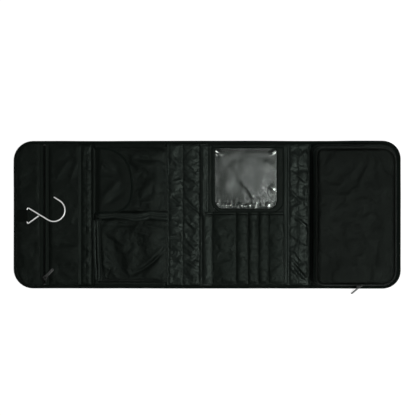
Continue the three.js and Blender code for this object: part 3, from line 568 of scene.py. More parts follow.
def wear_group():
    """Fine scratches and dull patches on metal and vinyl."""
    tree = bpy.data.node_groups.get("handled surface")
    if tree:
        return tree
    tree, start, end = group_with(
        "handled surface",
        [("Vector", "vector", None), ("Clean", "colour", (0.5, 0.5, 0.5, 1)),
         ("Worn", "colour", (0.3, 0.3, 0.3, 1)), ("Roughness", "value", 0.2), ("Scratches", "value", 0.2),
         ("Scale", "value", 300.0)],
        [("Color", "colour"), ("Roughness", "value"), ("Height", "value")],
    )
    stretched = node(tree, "ShaderNodeMapping", {
        "Vector": start.outputs["Vector"], "Rotation": (0.3, 0.2, 0.7), "Scale": (1.0, 9.0, 3.0),
    }).outputs[0]
    lines = node(tree, "ShaderNodeTexNoise", {
        "Vector": stretched, "Scale": start.outputs["Scale"], "Detail": 3.0,
    }).outputs["Fac"]
    patch = node(tree, "ShaderNodeTexNoise", {
        "Vector": start.outputs["Vector"], "Scale": 60.0,
    }).outputs["Fac"]
    both = maths(tree, "MULTIPLY", lines, patch)
    mixed = node(tree, "ShaderNodeMix", {
        0: maths(tree, "MULTIPLY", both, 1.6), 6: start.outputs["Clean"], 7: start.outputs["Worn"],
    }, data_type="RGBA").outputs[2]
    scratched = maths(tree, "MULTIPLY", both, start.outputs["Scratches"])
    rough = maths(tree, "ADD", start.outputs["Roughness"], scratched)
    tree.links.new(mixed, end.inputs["Color"])
    tree.links.new(rough, end.inputs["Roughness"])
    tree.links.new(lines, end.inputs["Height"])
    return tree


# Each cloth: its colour's name, threads to the metre, thread ratio, roughness, bump, specular, sheen
CLOTHS = {
    "nylon": ("nylon", 9500.0, 1.0, 0.42, 0.35, 0.32, 0.0),
    "pouch": ("pouch", 8200.0, 1.0, 0.46, 0.4, 0.25, 0.0),
    "gusset": ("satin", 9500.0, 1.0, 0.8, 0.35, 0.02, 0.0),
    "lining": ("lining", 12000.0, 1.0, 0.44, 0.2, 0.29, 0.0),
    "satin": ("satin", 12000.0, 1.0, 0.42, 0.2, 0.46, 0.0),
    "binding": ("binding", 6000.0, 0.35, 0.65, 0.5, 0.08, 0.0),
    "webbing": ("webbing", 3600.0, 0.7, 0.62, 0.6, 0.25, 0.02),
    "zip_tape": ("lining", 7000.0, 0.5, 0.5, 0.4, 0.3, 0.0),
    "zip_side": ("lining", 7000.0, 0.5, 0.7, 0.4, 0.02, 0.0),
}
# Each hard finish: its colour's name, metallic, roughness, scratches, specular
HARD = {
    "steel": ("steel", 1.0, 0.34, 0.2, 0.5),
    "gunmetal": ("gunmetal", 1.0, 0.34, 0.2, 0.5),
    # Painted shade: the sliders' darker colour stands in for the shade on them
    "slider": ("slider", 1.0, 0.4, 0.2, 0.5),
    "zip_teeth": ("teeth", 0.0, 0.42, 0.12, 0.1),
    "thread": ("thread", 0.0, 0.5, 0.2, 0.15),
}


def shade(colour, gain):
    """A colour made lighter or darker, with its alpha."""
    return (*(min(c * gain, 1.0) for c in colour), 1.0)


def material(name):
    """The material of that name, made the first time that a piece asks for it."""
    found = bpy.data.materials.get("bag " + name)
    if found:
        return found
    made = bpy.data.materials.new("bag " + name)
    made.use_nodes = True
    tree = made.node_tree
    tree.nodes.clear()
    colours = bpy.context.scene.bag_colours
    where = node(tree, "ShaderNodeTexCoord")
    if name in CLOTHS:
        key, threads, ratio, rough, strength, specular, sheen = CLOTHS[name]
        colour = getattr(colours, key)
        group, distance = cloth_group(), 0.1 * MM
        values = {
            "Vector": where.outputs["UV" if name == "binding" else "Object"], "Threads": threads,
            "Thread ratio": ratio, "Dark": shade(colour, 0.72), "Light": shade(colour, 1.35),
            "Roughness": rough, "Roughness change": 0.12,
        }
        surface = {
            "Metallic": 0.0, "Specular IOR Level": specular, "Specular Tint": (0.82, 1.0, 0.88, 1.0),
            "Sheen Weight": sheen, "Sheen Roughness": 0.4,
        }
    elif name == "vinyl":
        colour = colours.vinyl
        group, distance, strength = wear_group(), 0.1 * MM, 0.05
        values = {
            "Vector": where.outputs["Object"], "Clean": shade(colour, 1.1), "Worn": shade(colour, 0.8),
            "Roughness": 0.14, "Scratches": 0.15, "Scale": 90.0,
        }
        surface = {
            "Metallic": 0.0, "Specular IOR Level": 0.7, "Specular Tint": (0.9, 1.0, 0.93, 1.0),
            "Coat Weight": 0.4, "Coat Roughness": 0.08, "Alpha": 0.82,
        }
    else:
        key, metallic, rough, scratches, specular = HARD[name]
        colour = getattr(colours, key)
        group, distance, strength = wear_group(), 0.05 * MM, 0.12
        values = {
            "Vector": where.outputs["Object"], "Clean": shade(colour, 1.08), "Worn": shade(colour, 0.7),
            "Roughness": rough, "Scratches": scratches,
        }
        surface = {"Metallic": metallic, "Specular IOR Level": specular}
    pattern = node(tree, "ShaderNodeGroup", values, node_tree=group)
    bump = node(tree, "ShaderNodeBump", {
        "Height": pattern.outputs["Height"], "Strength": strength, "Distance": distance,
    })
    shader = node(tree, "ShaderNodeBsdfPrincipled", {
        "Base Color": pattern.outputs["Color"], "Roughness": pattern.outputs["Roughness"],
        "Normal": bump.outputs[0], **surface,
    })
    out = node(tree, "ShaderNodeOutputMaterial")
    tree.links.new(shader.outputs[0], out.inputs[0])
    return made


# Repeats along a path

def path_tree(name, primitive, sizes):
    """A node tree that sets one shape along a path of edges; Z follows the path's out attribute."""
    tree = bpy.data.node_groups.get(name)
    if tree:
        return tree
    tree = bpy.data.node_groups.new(name, "GeometryNodeTree")
    face = tree.interface
    face.new_socket(name="Path", in_out="INPUT", socket_type="NodeSocketGeometry")
    for label, default in (("Pitch", 3 * MM), ("Length", 2 * MM), ("Width", 0.5 * MM), ("Height", 0.5 * MM)):
        face.new_socket(name=label, in_out="INPUT", socket_type="NodeSocketFloat").default_value = default
    face.new_socket(name="Finish", in_out="INPUT", socket_type="NodeSocketMaterial")
    face.new_socket(name="Shapes", in_out="OUTPUT", socket_type="NodeSocketGeometry")
    start, end = tree.nodes.new("NodeGroupInput"), tree.nodes.new("NodeGroupOutput")
    curve = node(tree, "GeometryNodeMeshToCurve", {0: start.outputs["Path"]}).outputs[0]
    spaced = node(tree, "GeometryNodeResampleCurve", {"Curve": curve, "Length": start.outputs["Pitch"]},
                  mode="LENGTH").outputs[0]
    run = node(tree, "GeometryNodeInputTangent").outputs[0]
    outward = node(tree, "GeometryNodeInputNamedAttribute", {"Name": "out"},
                   data_type="FLOAT_VECTOR").outputs["Attribute"]
    turned = node(tree, "FunctionNodeAlignRotationToVector", {"Vector": run}, axis="X").outputs[0]
    stood = node(tree, "FunctionNodeAlignRotationToVector", {"Rotation": turned, "Vector": outward},
                 axis="Z", pivot_axis="X").outputs[0]
    shape = node(tree, primitive, sizes).outputs[0]
    scale = node(tree, "ShaderNodeCombineXYZ", {
        0: start.outputs["Length"], 1: start.outputs["Width"], 2: start.outputs["Height"],
    }).outputs[0]
    set_out = node(tree, "GeometryNodeInstanceOnPoints", {
        "Points": spaced, "Instance": shape, "Rotation": stood, "Scale": scale,
    }).outputs[0]
    real = node(tree, "GeometryNodeRealizeInstances", {0: set_out}).outputs[0]
    finished = node(tree, "GeometryNodeSetMaterial", {"Geometry": real, "Material": start.outputs["Finish"]})
    tree.links.new(finished.outputs[0], end.inputs[0])
    return tree


def along_paths(name, tree, paths, pitch, length, width, height, material_name, outs=None):
    """The tree's shape repeated along each path of points, as one plain mesh."""
    points = np.concatenate(paths)
    starts = np.cumsum([0, *(len(path) for path in paths)])
    edges = [(a + i, a + i + 1) for a, path in zip(starts, paths) for i in range(len(path) - 1)]
    mesh = bpy.data.meshes.new(name)
    mesh.from_pydata(points.tolist(), edges, [])
    layer = mesh.attributes.new("out", "FLOAT_VECTOR", "POINT")
    outward = np.concatenate(outs) if outs is not None else np.broadcast_to(UP, points.shape)
    layer.data.foreach_set("vector", np.ascontiguousarray(outward, dtype=np.float32).reshape(-1))
    made = placed(name, mesh)
    repeat = made.modifiers.new("repeat", "NODES")
    repeat.node_group = tree
    sockets = {item.name: item.identifier for item in tree.interface.items_tree if item.in_out == "INPUT"}
    wanted = {"Pitch": pitch, "Length": length, "Width": width, "Height": height,
              "Finish": material(material_name)}
    for label, value in wanted.items():
        repeat[sockets[label]] = value
    finish_modifiers(made)
    if not made.data.materials:
        made.data.materials.append(material(material_name))
    return made


def stitches(name, paths, outs=None):
    sizes = bpy.context.scene.bag_sizes
    tree = path_tree("sewn stitches", "GeometryNodeMeshUVSphere", {"Segments": 6, "Rings": 4, "Radius": 0.5})
    return along_paths(name, tree, paths, sizes.stitch_pitch, sizes.stitch_length, sizes.thread_width,
                       sizes.thread_width, "thread", outs)


def teeth(name, paths, outs=None):
    """Rows of zip teeth along paths; outs gives what points away from the tape, if not upwards."""
    sizes = bpy.context.scene.bag_sizes
    tree = path_tree("zip teeth", "GeometryNodeMeshCube", {"Size": (1.0, 1.0, 1.0)})
    made = along_paths(name, tree, paths, sizes.tooth_pitch, *TOOTH, "zip_teeth", outs)
    round_off = made.modifiers.new("round", "BEVEL")
    round_off.width = min(TOOTH) * 0.2
    round_off.segments = 1
    return finish_modifiers(made)


# Small helpers for pieces

def lit_pieces(word):
    """The collection of what a linked light shines on: the wire for metal, the window for vinyl."""
    return bpy.data.collections.get("lit " + word) or bpy.data.collections.new("lit " + word)


def fitted(made, nodes, slot):
    """Says which nodes a piece replaces, by hiding them; its slot is not used."""
    if nodes:
        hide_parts(*nodes)
    return made


def rides(made, body, *nodes, slot="nylon"):
    """Puts a piece on one body."""
    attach(made, body)
    return fitted(made, nodes, slot)


def bends(made, first, second, start_x, end_x, *nodes, slot="nylon"):
    """Bakes a piece's place into its mesh and hides the nodes that it replaces; the bodies and places in X
    are not used.
    """
    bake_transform(made)
    return fitted(made, nodes, slot)


def area_of(grid):
    one, two = grid[1:, 1:] - grid[:-1, :-1], grid[1:, :-1] - grid[:-1, 1:]
    return 0.5 * np.linalg.norm(np.cross(one, two), axis=-1).sum()


def run_length(line):
    return float(np.linalg.norm(np.diff(line, axis=0), axis=1).sum())


def cut_sheet(made, plan, spare, held, *rests_on):
    """Works out the cloth that a sheet's plan takes, with a share to spare for its wrinkles; the result is
    not kept.
    """
    rows, columns = plan.shape[:2]
    width = run_length(plan[rows // 2]) * (1 + spare)
    length = run_length(plan[:, columns // 2]) * (1 + spare)
    area = min(area_of(plan) * (1 + spare) ** 2, width * length)


def refined(node_name, name, material_name, bevel=0.0, levels=0, swell=0.0):
    """A smooth copy of a node, merged, with its edges rounded."""
    made = placed(name, frame["nodes"][node_name].data.copy())
    made.data.materials.clear()
    made.data.materials.append(material(material_name))
    weld = made.modifiers.new("weld", "WELD")
    weld.merge_threshold = 0.01 * MM
    finish_modifiers(made)
    if bevel:
        flat = made.modifiers.new("flat", "DECIMATE")
        flat.decimate_type = "DISSOLVE"
        flat.angle_limit = math.radians(1)
        edge = made.modifiers.new("edge", "BEVEL")
        edge.width = bevel
        edge.segments = 2
        edge.limit_method = "ANGLE"
        edge.angle_limit = math.radians(35)
    if levels:
        smooth = made.modifiers.new("smooth", "SUBSURF")
        smooth.levels = smooth.render_levels = levels
        full = made.modifiers.new("full", "DISPLACE")
        full.strength = swell
        full.mid_level = 0
    finish_modifiers(made)
    if not levels:
        made.data.set_sharp_from_angle(angle=math.radians(40))
    return made


def lining_top(x, y):
    """A little unevenness of cloth that lies on a board."""
    return 0.25 * MM * cloud(x, y, 38 * MM, 11) + 0.2 * MM * creases(x, y, 0.9, 30 * MM, 11 * MM, 21)


def inside(x, y, x0, x1, low, high):
    """How far a point lies inside a panel's outline; a hinge side has no edge."""
    from_low = x - x0 if low else np.full_like(x, 1.0)
    from_high = x1 - x if high else np.full_like(x, 1.0)
    from_side = HALF - np.abs(y)
    distance = np.minimum(from_side, np.minimum(from_low, from_high))
    for radius, near in ((low, from_low), (high, from_high)):
        if radius:
            corner = (near < radius) & (from_side < radius)
            distance = np.where(corner, radius - np.hypot(radius - near, radius - from_side), distance)
    return distance


# For each panel's body: where it starts and ends in X, and its corner radius at each end
PANELS = {
    "hook_panel": (HOOK_START, HOOK_END, HOOK_CORNER, 0.0),
    "pocket_panel": (POCKET_START, POCKET_END, 0.0, 0.0),
    "brush_panel": (BRUSH_START, BRUSH_END, 0.0, 0.0),
    "pouch": (POUCH_START, POUCH_END, 0.0, POUCH_CORNER),
}
# For each spine: the bodies before, in and after it, its two folds in X, and where the halves
# of its cloth meet if not in the middle
SPINES = {
    "narrow_spine": ("hook_panel", "narrow_spine", "pocket_panel", HOOK_END, POCKET_START, None),
    "wide_spine": ("pocket_panel", "wide_spine", "brush_panel", POCKET_END, BRUSH_START, -43.5 * MM),
    "pouch_spine": ("brush_panel", "pouch_spine", "pouch", BRUSH_END, POUCH_START, None),
}
# Half the length over which cloth would bend at a spine's fold; bends() takes it but does not use it
BEND = 3.2 * MM
# Folds in the cloth, as lines in millimetres: x0, y0, x1, y1, width, height
POCKET_PANEL_FOLDS = [
    (-210.5, -30, -198, -121, 1.5, 1.3), (-207, 0, -200, -6, 2.2, 1.6), (-205, -8, -199, -2, 1.8, 1.2),
]
BRUSH_PANEL_FOLDS = [
    (4.5, 3, 4, 127, 4.2, 1.7), (-3.8, 10, -4.5, 125, 2.2, 0.9), (-1, 70, 9, 52, 2.5, 0.6),
]
OPEN_POCKET_FOLDS = [
    (-74, -58, -84, -75, 2.6, -2.0), (-82, -72, -105, -93, 2.6, -2.4), (-101, -91, -136, -110, 2.8, -1.9),
    (-84, -62, -110, -88, 3.4, 1.2), (-78, -84, -112, -110, 7, 1.3), (-192, -19, -120, -17, 2.2, -1.2),
    (-150, -24, -95, -40, 5, 1.2), (-193, -34, -188, -112, 3, 1.1), (-120, -19, -80, -28, 2.6, 1.2),
    (-186, -30, -140, -62, 7, 1.1), (-150, -96, -112, -70, 8, 0.9), (-176, -70, -150, -112, 9, -0.9),
    (-120, -44, -84, -52, 6, 0.9), (-180, -98, -164, -118, 4, 0.8),
]
FLAP_POCKET_FOLDS = [
    (-142, 103, -78, 101, 2.2, -1.3), (-136, 111, -96, 107, 3.4, 0.9), (-132, 92, -100, 90, 6, 1.3),
    (-160, 9.5, -120, 11, 2.4, 1.0), (-136, 16, -90, 12, 2.4, -0.9), (-134, 22, -100, 26, 3, 0.9),
    (-126, 34, -98, 68, 7, 1.1), (-92, 30, -94, 96, 5, 1.0), (-120, 78, -84, 62, 6, -1.0),
]
FLAP_FOLDS = [
    (-200, 100, -172, 86, 4, 1.0), (-192, 30, -160, 66, 6, 1.7), (-170, 96, -158, 56, 7, -1.2),
    (-184, 20, -158, 40, 4, -1.1), (-198, 68, -166, 67, 2.6, 1.0), (-178, 108, -152, 94, 4, 1.0),
    (-188, 84, -170, 74, 5, -0.9),
]
NARROW_SPINE_FOLDS = [
    (-229, -125, -226.5, -30, 5.0, 0.5), (-226, -50, -228.5, 70, 5.6, 0.6),
    (-229.5, 50, -226.5, 125, 4.6, 0.8), (-222, 44, -218, 122, 3.0, 0.4),
    (-231, -96, -217, -70, 3.4, 0.6), (-230, 20, -218, 44, 3.2, 0.5),
    (-230, 96, -218, 84, 3, -0.5), (-230, -20, -219, -34, 3, -0.5), (-218, -112, -216, -40, 2.6, 0.5),
]
WIDE_SPINE_FOLDS = [
    (-42, 32, -16, 6, 3.4, -2.0), (-40, 24, -14, -2, 2.6, 1.4), (-41, -8, -15, -34, 3, 1.1),
    (-41, -44, -15, -64, 3.2, 1.2), (-40, -84, -18, -98, 3, 1.1), (-40, 78, -18, 58, 3.4, 1.1),
    (-41, 112, -20, 98, 3, 1.0), (-68, -20, -46, -26, 2.2, 0.9), (-68, 60, -46, 66, 2.4, 0.9),
    (-68, -88, -46, -82, 2.2, 0.9), (-68, 12, -47, 16, 2, 0.9), (-42, 62, -26, 46, 4, -1.6),
    (-66, 34, -50, 20, 3.4, -1.8), (-36, -20, -18, -44, 3, -1.2), (-38, 92, -22, 80, 3, -1.2),
    (-62, 112, -50, 96, 3, -1.0), (-64, -50, -48, -60, 3, -1.0),
]
POUCH_SPINE_FOLDS = [
    (186, 122, 172, 106, 2.4, 1.4), (172, 106, 158, 112, 2.2, 1.2), (172, 106, 168, 88, 2.4, 1.2),
    (156, -80, 184, -112, 2.6, 1.8), (153, -96, 178, -122, 2.4, 1.4), (160, -66, 186, -92, 2.6, 1.3),
    (154, 44, 180, 20, 3, 1.1), (156, 0, 184, -20, 3, 1.1), (154, -36, 182, -56, 3, 1.0),
    (155, 80, 182, 62, 2.8, 1.1), (165, 118, 166, 30, 4, -1.0), (164, 10, 168, -60, 4, -0.9),
    (147, -126, 147, 10, 3, 0.9), (146.5, 20, 147, 126, 3, 1.1), (176, 122, 184, 100, 2.6, -1.6),
    (160, -92, 184, -120, 2.4, -1.6),
]
LID_FOLDS = [
    (298, 100, 276, 45, 4, 0.6), (312, 108, 318, 84, 6, 0.8), (236, -92, 298, -96, 9, 1.3),
    (318, -80, 325, -100, 6, 0.7), (225, 75, 262, 55, 14, -1.1), (214, 36, 262, 34, 3, 0.5),
    (300, 40, 322, 30, 5, 0.5), (250, 20, 240, -40, 10, -0.7), (285, -20, 300, -60, 12, 0.7),
    (216, -40, 222, -104, 6, -0.6),
]
HOOK_PANEL_FOLDS = [
    (-279, 67, -255, 103, 5, 1.0), (-253, 67, -236, 100, 4, 0.9), (-262, -50, -240, -56, 2.5, -0.9),
    (-268, -58, -242, -63, 3, 0.8), (-275, -72, -242, -92, 11, 1.0), (-335, 40, -322, 95, 9, -0.8),
    (-345, -40, -335, -90, 7, 0.7), (-268, -104, -246, -118, 5, 0.7), (-316, -30, -320, -80, 6, -0.6),
    (-262, 30, -246, -16, 8, 0.7), (-330, -60, -312, -100, 6, 0.6),
]
VINYL_FOLDS = [
    (58, 66, 78, 46, 3.4, 0.14), (76, 48, 90, 26, 3.8, 0.2), (86, 40, 100, 30, 3.0, 0.12),
    (17, 121, 27, 112, 3, 0.6), (18, 112, 26, 108, 2.5, 0.4), (126, 121, 116, 113, 3, 0.6),
    (114, 56, 124, 46, 5, 0.4), (30, 90, 50, 104, 9, -0.2), (104, 100, 122, 84, 8, 0.3),
    (20, 40, 40, 60, 8, 0.2),
]
# How each spine's lining grows, how stiff it is, how high it may rise, how far it laps over the panels
# at its two ends, how much it is puffed up, its cloth and its folds
SPINE_CLOTH = {
    "narrow_spine": {
        "grow": 0.02, "bending": 0.3, "lift": 1.0 * MM, "laps": (4.6 * MM, 4.6 * MM), "puff": 1.9,
        "cloth": "lining", "folds": NARROW_SPINE_FOLDS,
    },
    "wide_spine": {
        "grow": 0.055, "bending": 0.1, "lift": 2.3 * MM, "laps": (2.4 * MM, 4.6 * MM), "puff": 1.1,
        "cloth": "satin", "folds": WIDE_SPINE_FOLDS,
    },
    "pouch_spine": {
        "grow": 0.055, "bending": 0.12, "lift": 2.3 * MM, "laps": (8.6 * MM, 4.6 * MM), "puff": 1.6,
        "cloth": "satin", "folds": POUCH_SPINE_FOLDS,
    },
}
# Height of the spines' linings at their two outer ends, and the least height anywhere
SPINE_SEAM_Z = 1.9 * MM
SPINE_LEAST_Z = 1.45 * MM


def tape_section(width, height, middle, count=16):
    """Points round a flattened oval."""
    angles = np.linspace(0, 2 * math.pi, count, endpoint=False)
    round_x = np.sign(np.cos(angles)) * np.abs(np.cos(angles)) ** 0.75
    round_z = np.sign(np.sin(angles)) * np.abs(np.sin(angles)) ** 0.75
    return np.stack([width / 2 * round_x, middle + height / 2 * round_z], -1)


def ruffle(path, depth, size, seed):
    """Small sideways waves along a path."""
    side = frames_along(path)
    wave = cloud(path[:, 0] + 3, path[:, 1] + 5, size, seed)
    return path + side * (wave * depth)[:, None]


def pushed_out(path):
    """Lets an edge belly outwards as soft cloth does, most near the middle of the bag and at the pouch."""
    x, y = path[:, 0], path[:, 1]
    belly = 0.8 + 0.5 * np.exp(-((x / 0.17) ** 2)) + 0.4 * cloud(x, y, 90 * MM, 35)
    belly = belly + 0.7 * ease(0.19, 0.3, x) + 0.5 * ease(0.33, 0.352, x)
    side = frames_along(path)
    # The two end points move in Y only, so that the tape stays as long as it is
    side[[0, -1], 0] = 0
    return path + side * (belly * MM)[:, None]


def edge_paths(x0, x1, low, high, inset):
    """The runs of a panel's edge, each with the outside on its right."""
    y = HALF - inset
    if low or high:
        corners = max(low - inset, 0.1 * MM), max(high - inset, 0.1 * MM)
        closed = outline(x0 + inset, x1 - inset, -y, y, *corners)
        keep_low = x0 + (HINGE_SETBACK if not low else 0)
        keep_high = x1 - (HINGE_SETBACK if not high else 0)
        first = np.argmax(closed[:, 0]) if low else np.argmin(closed[:, 0])
        closed = np.roll(closed, -first, axis=0)
        kept = closed[(closed[:, 0] >= keep_low - 1e-6) & (closed[:, 0] <= keep_high + 1e-6)]
        cut = x1 - HINGE_SETBACK if low else x0 + HINGE_SETBACK
        ends = (y, -y) if low else (-y, y)
        kept = kept[np.abs(kept[:, 0] - cut) > 0.5 * MM]
        kept = np.concatenate([[(cut, ends[0])], kept, [(cut, ends[1])]])
        return [pushed_out(at_height(kept, 0.0))]
    xs = steps(x0 + HINGE_SETBACK, x1 - HINGE_SETBACK, EDGE_STEP)
    return [pushed_out(line(xs, -y, 0.0)), pushed_out(line(xs[::-1], y, 0.0))]


class BAG_OT_padded_panels(bpy.types.Operator):
    """Makes the four padded boards, pinched at their sewn edges"""
    bl_idname = "bag.padded_panels"
    bl_label = "Padded panels"

    def execute(self, context):
        y_end = HALF - PINCH
        for body, (x0, x1, low, high) in PANELS.items():
            start = x0 + (PINCH if low else HINGE_SETBACK - 0.3 * MM)
            end = x1 - (PINCH if high else HINGE_SETBACK - 0.3 * MM)
            edges = rounded_edges(start, end, -y_end, y_end, low and low - PINCH, high and high - PINCH)
            rows = corner_rows(-y_end, y_end, max(low, high), BOARD_STEP)
            grid = sheet_grid(edges, rows, int((end - start) / BOARD_STEP), lambda x, y: np.zeros_like(x))
            x, y = grid[..., 0], grid[..., 1]
            deep = inside(x, y, x0, x1, low, high)
            far_off = np.full_like(x, 1.0)
            to_fold = np.minimum(far_off if low else x - start, far_off if high else end - x)
            edge = ease(2 * MM, 7.5 * MM, deep)
            top = (1.9 + 1.5 * edge) * MM * (0.45 + 0.55 * ease(0, 2.2 * MM, to_fold))
            top = top + lining_top(x, y) * edge * ease(0, 8 * MM, to_fold)
            top = np.minimum(top, BOARD_TOP + 0.1 * MM)
            if body == "pocket_panel":
                top = top + folds(x, y, POCKET_PANEL_FOLDS)
            if body == "brush_panel":
                top = top + folds(x, y, BRUSH_PANEL_FOLDS)
            bottom = (1 - edge) * 0.8 * MM + 0.5 * MM * (1 - ease(0, 2 * MM, to_fold))
            cloth = "gusset" if body == "pouch" else "nylon"
            made = slab(body + "_pad", np.dstack([x, y, top]), np.dstack([x, y, bottom]), cloth)
            node_name = "pouch_base" if body == "pouch" else body + "_shell"
            rides(made, body, node_name)
        return {"FINISHED"}


class BAG_OT_edge_tapes(bpy.types.Operator):
    """Binds the sewn edges of the panels and spines with folded tape"""
    bl_idname = "bag.edge_tapes"
    bl_label = "Edge tapes"

    def execute(self, context):
        section = tape_section(TAPE_WIDTH, TAPE_HEIGHT, TAPE_HEIGHT / 2)
        inset = TAPE_WIDTH / 2
        seam_z = TAPE_HEIGHT * 0.985
        # The seam runs nearer the bag's middle than the tape does, by this share
        seam_share = (HALF - TAPE_WIDTH + TAPE_SEAM) / (HALF - inset)
        for body, (x0, x1, low, high) in PANELS.items():
            runs = edge_paths(x0, x1, low, high, inset)
            seams = edge_paths(x0, x1, low, high, TAPE_WIDTH - TAPE_SEAM)
            nodes = {
                "hook_panel": ["hook_panel_binding"], "pouch": ["pouch_binding"],
            }.get(body, [f"{body}_binding_lower", f"{body}_binding_upper"])
            for path, node_name in zip(runs, nodes):
                puff = 1 + 0.05 * cloud(path[:, 0], path[:, 1], 12 * MM, 33)
                made = sweep(node_name + "_tape", path, section, "binding", up_gain=puff)
                rides(made, body, node_name, slot="binding")
            sewn = stitches(body + "_edge_stitches", [at_height(path, seam_z) for path in seams])
            rides(sewn, body, slot="binding")
        for name, (first, spine, last, x0, x1, meet) in SPINES.items():
            middle = (x0 + x1) / 2 if meet is None else meet
            halves = (
                ("first", first, spine, x0 - HINGE_SETBACK, middle, x0),
                ("last", spine, last, middle, x1 + HINGE_SETBACK, x1),
            )
            for word, before, after, start, end, hinge in halves:
                xs = steps(start, end, 1.2 * MM)
                fold = (before, after, hinge - BEND, hinge + BEND)
                y = HALF - inset
                runs = [pushed_out(line(xs, -y, 0.0)), pushed_out(line(xs[::-1], y, 0.0))]
                for side, path in zip(("lower", "upper"), runs):
                    made = sweep(f"{name}_{side}_tape_{word}", path, section, "binding")
                    bends(made, *fold, slot="binding")
                seams = [at_height(path * [1, seam_share, 1], seam_z) for path in runs]
                bends(stitches(f"{name}_edge_stitches_{word}", seams), *fold, slot="binding")
        return {"FINISHED"}


class BAG_OT_spines(bpy.types.Operator):
    """Makes the soft cloth spines, whose lining buckles between its seams"""
    bl_idname = "bag.spines"
    bl_label = "Cloth spines"

    def execute(self, context):
        sizes = context.scene.bag_sizes
        cloths, plans = [], []
        y_end = HALF - LINING_INSET
        rows = steps(-y_end, y_end, 2.1 * MM)
        for name, (first, spine, last, x0, x1, meet) in SPINES.items():
            kind = SPINE_CLOTH[name]
            middle = (x0 + x1) / 2 if meet is None else meet
            low, high = x0 - kind["laps"][0], x1 + kind["laps"][1]
            left = steps(low, middle, 1.9 * MM)
            xs = np.concatenate([left, steps(middle, high, 1.9 * MM)[1:]])

            def height(x, y, x0=x0, x1=x1, middle=middle, name=name, kind=kind):
                within = ease(0, 5 * MM, np.minimum(x - x0, x1 - x))
                ends = ease(0, 3 * MM, np.maximum(x0 - x, x - x1))
                within = within ** (0.5 if name == "narrow_spine" else 1.0)
                seam = 1 - 0.9 * np.exp(-(((x - middle) / (2.2 * MM)) ** 2)) * (name == "wide_spine")
                z = (1.75 + kind["puff"] * within * seam + 2.35 * ends) * MM
                z = z + folds(x, y, kind["folds"]) * np.maximum(within, ends)
                return SPINE_SEAM_Z + (z - SPINE_SEAM_Z) * ease(0, 5 * MM, y_end - np.abs(y))

            share = (xs - low) / (high - low)
            grid = sheet_grid(lambda y: (low, high), rows, share, height)
            x = grid[..., 0]
            sewn = (np.abs(x - x0) < 1.2 * MM) | (np.abs(x - x1) < 1.2 * MM) | (x < x0) | (x > x1)
            if name == "wide_spine":
                sewn |= np.abs(x - middle) < 0.5 * MM
            sewn[0] = sewn[-1] = True
            cloths.append(
                Cloth(name + "_lining", grid, sewn, kind["grow"], kind["bending"], kind["lift"], 0.9 * MM))
            plans.append((name, first, spine, last, x0, x1, middle, len(left) - 1, grid))
        grids = settle_all(cloths, sizes.wrinkle_depth)
        ys = steps(PINCH - HALF, HALF - PINCH, 3 * MM)
        for grid, (name, first, spine, last, x0, x1, middle, column, plan) in zip(grids, plans):
            kind = SPINE_CLOTH[name]
            grid[..., 2] = np.maximum(grid[..., 2], SPINE_LEAST_Z)
            halves = (
                ("first", slice(0, column + 1), first, spine, x0, x0 - HINGE_SETBACK, middle),
                ("last", slice(column, None), spine, last, x1, middle, x1 + HINGE_SETBACK),
            )
            for word, part, before, after, hinge, start, end in halves:
                half = grid[:, part]
                fold = (before, after, hinge - BEND, hinge + BEND)
                lining = sewn_sheet(f"{name}_lining_{word}", half, sizes.cloth_thickness, kind["cloth"])
                cut_sheet(lining, plan[:, part], kind["grow"] * 0.6, "gathered")
                bends(lining, *fold, name + "_lining", slot="lining")
                flat = sheet_grid(lambda y: (start, end), ys, int((end - start) / MM),
                                  lambda x, y: np.full_like(x, 0.85 * MM))
                cloth = slab(f"{name}_cloth_{word}", flat, flat * [1, 1, 0], "nylon")
                cut_sheet(cloth, flat, 0.02, "stretched")
                bends(cloth, *fold, name + "_cloth")
                if name == "wide_spine" and word == "first":
                    seam = half[:, -2] + UP * 0.12 * MM
                    bends(stitches("wide_spine_seam_stitches", [seam]), *fold, slot="lining")
        return {"FINISHED"}


class BAG_OT_hook_panel_lining(bpy.types.Operator):
    """Lays the two halves of the hook panel's lining beside its zip"""
    bl_idname = "bag.hook_panel_lining"
    bl_label = "Hook panel lining"

    def execute(self, context):
        sizes = context.scene.bag_sizes
        y_end = HALF - LINING_INSET
        corner = HOOK_CORNER - LINING_INSET
        left_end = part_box("hook_lining_left")[1][0] + 0.4 * MM
        right_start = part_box("hook_lining_right")[0][0] - 0.4 * MM
        plans = (
            ("hook_lining_left", HOOK_START + LINING_INSET, left_end, corner),
            ("hook_lining_right", right_start, HOOK_END - 3.6 * MM, 0.0),
        )
        cloths = []
        for name, x0, x1, low in plans:
            rows = corner_rows(-y_end, y_end, low, BOARD_STEP)
            columns = int((x1 - x0) / BOARD_STEP) + 1

            def height(x, y, x0=x0, x1=x1, low=low):
                deep = inside(x, y, x0, x1 + 1, low, 0.0) if low else HALF - LINING_INSET - np.abs(y)
                to_zip = x1 - x if low else x - x0
                puff = ease(0, 7 * MM, deep) * ease(0, 6 * MM, to_zip)
                return BOARD_TOP + (0.4 + 0.75 * puff) * MM + folds(x, y, HOOK_PANEL_FOLDS)

            edges = rounded_edges(x0, x1, -y_end, y_end, low, 0.0)
            grid = sheet_grid(edges, rows, columns, height)
            cloths.append(Cloth(name, grid, sewn_edges(grid), 0.012, 0.6, 0.9 * MM, 0.25 * MM))
        flats = [cloth.grid for cloth in cloths]
        for (name, *_), flat, grid in zip(plans, flats, settle_all(cloths, sizes.wrinkle_depth)):
            made = sewn_sheet(name + "_cloth", grid, sizes.cloth_thickness, "nylon")
            cut_sheet(made, flat, 0.01, "stretched", "hook_panel_pad")
            rides(made, "hook_panel", name, slot="lining")
        return {"FINISHED"}


# Where the rows of teeth end, to either side
HOOK_ZIP_END = 126.6 * MM


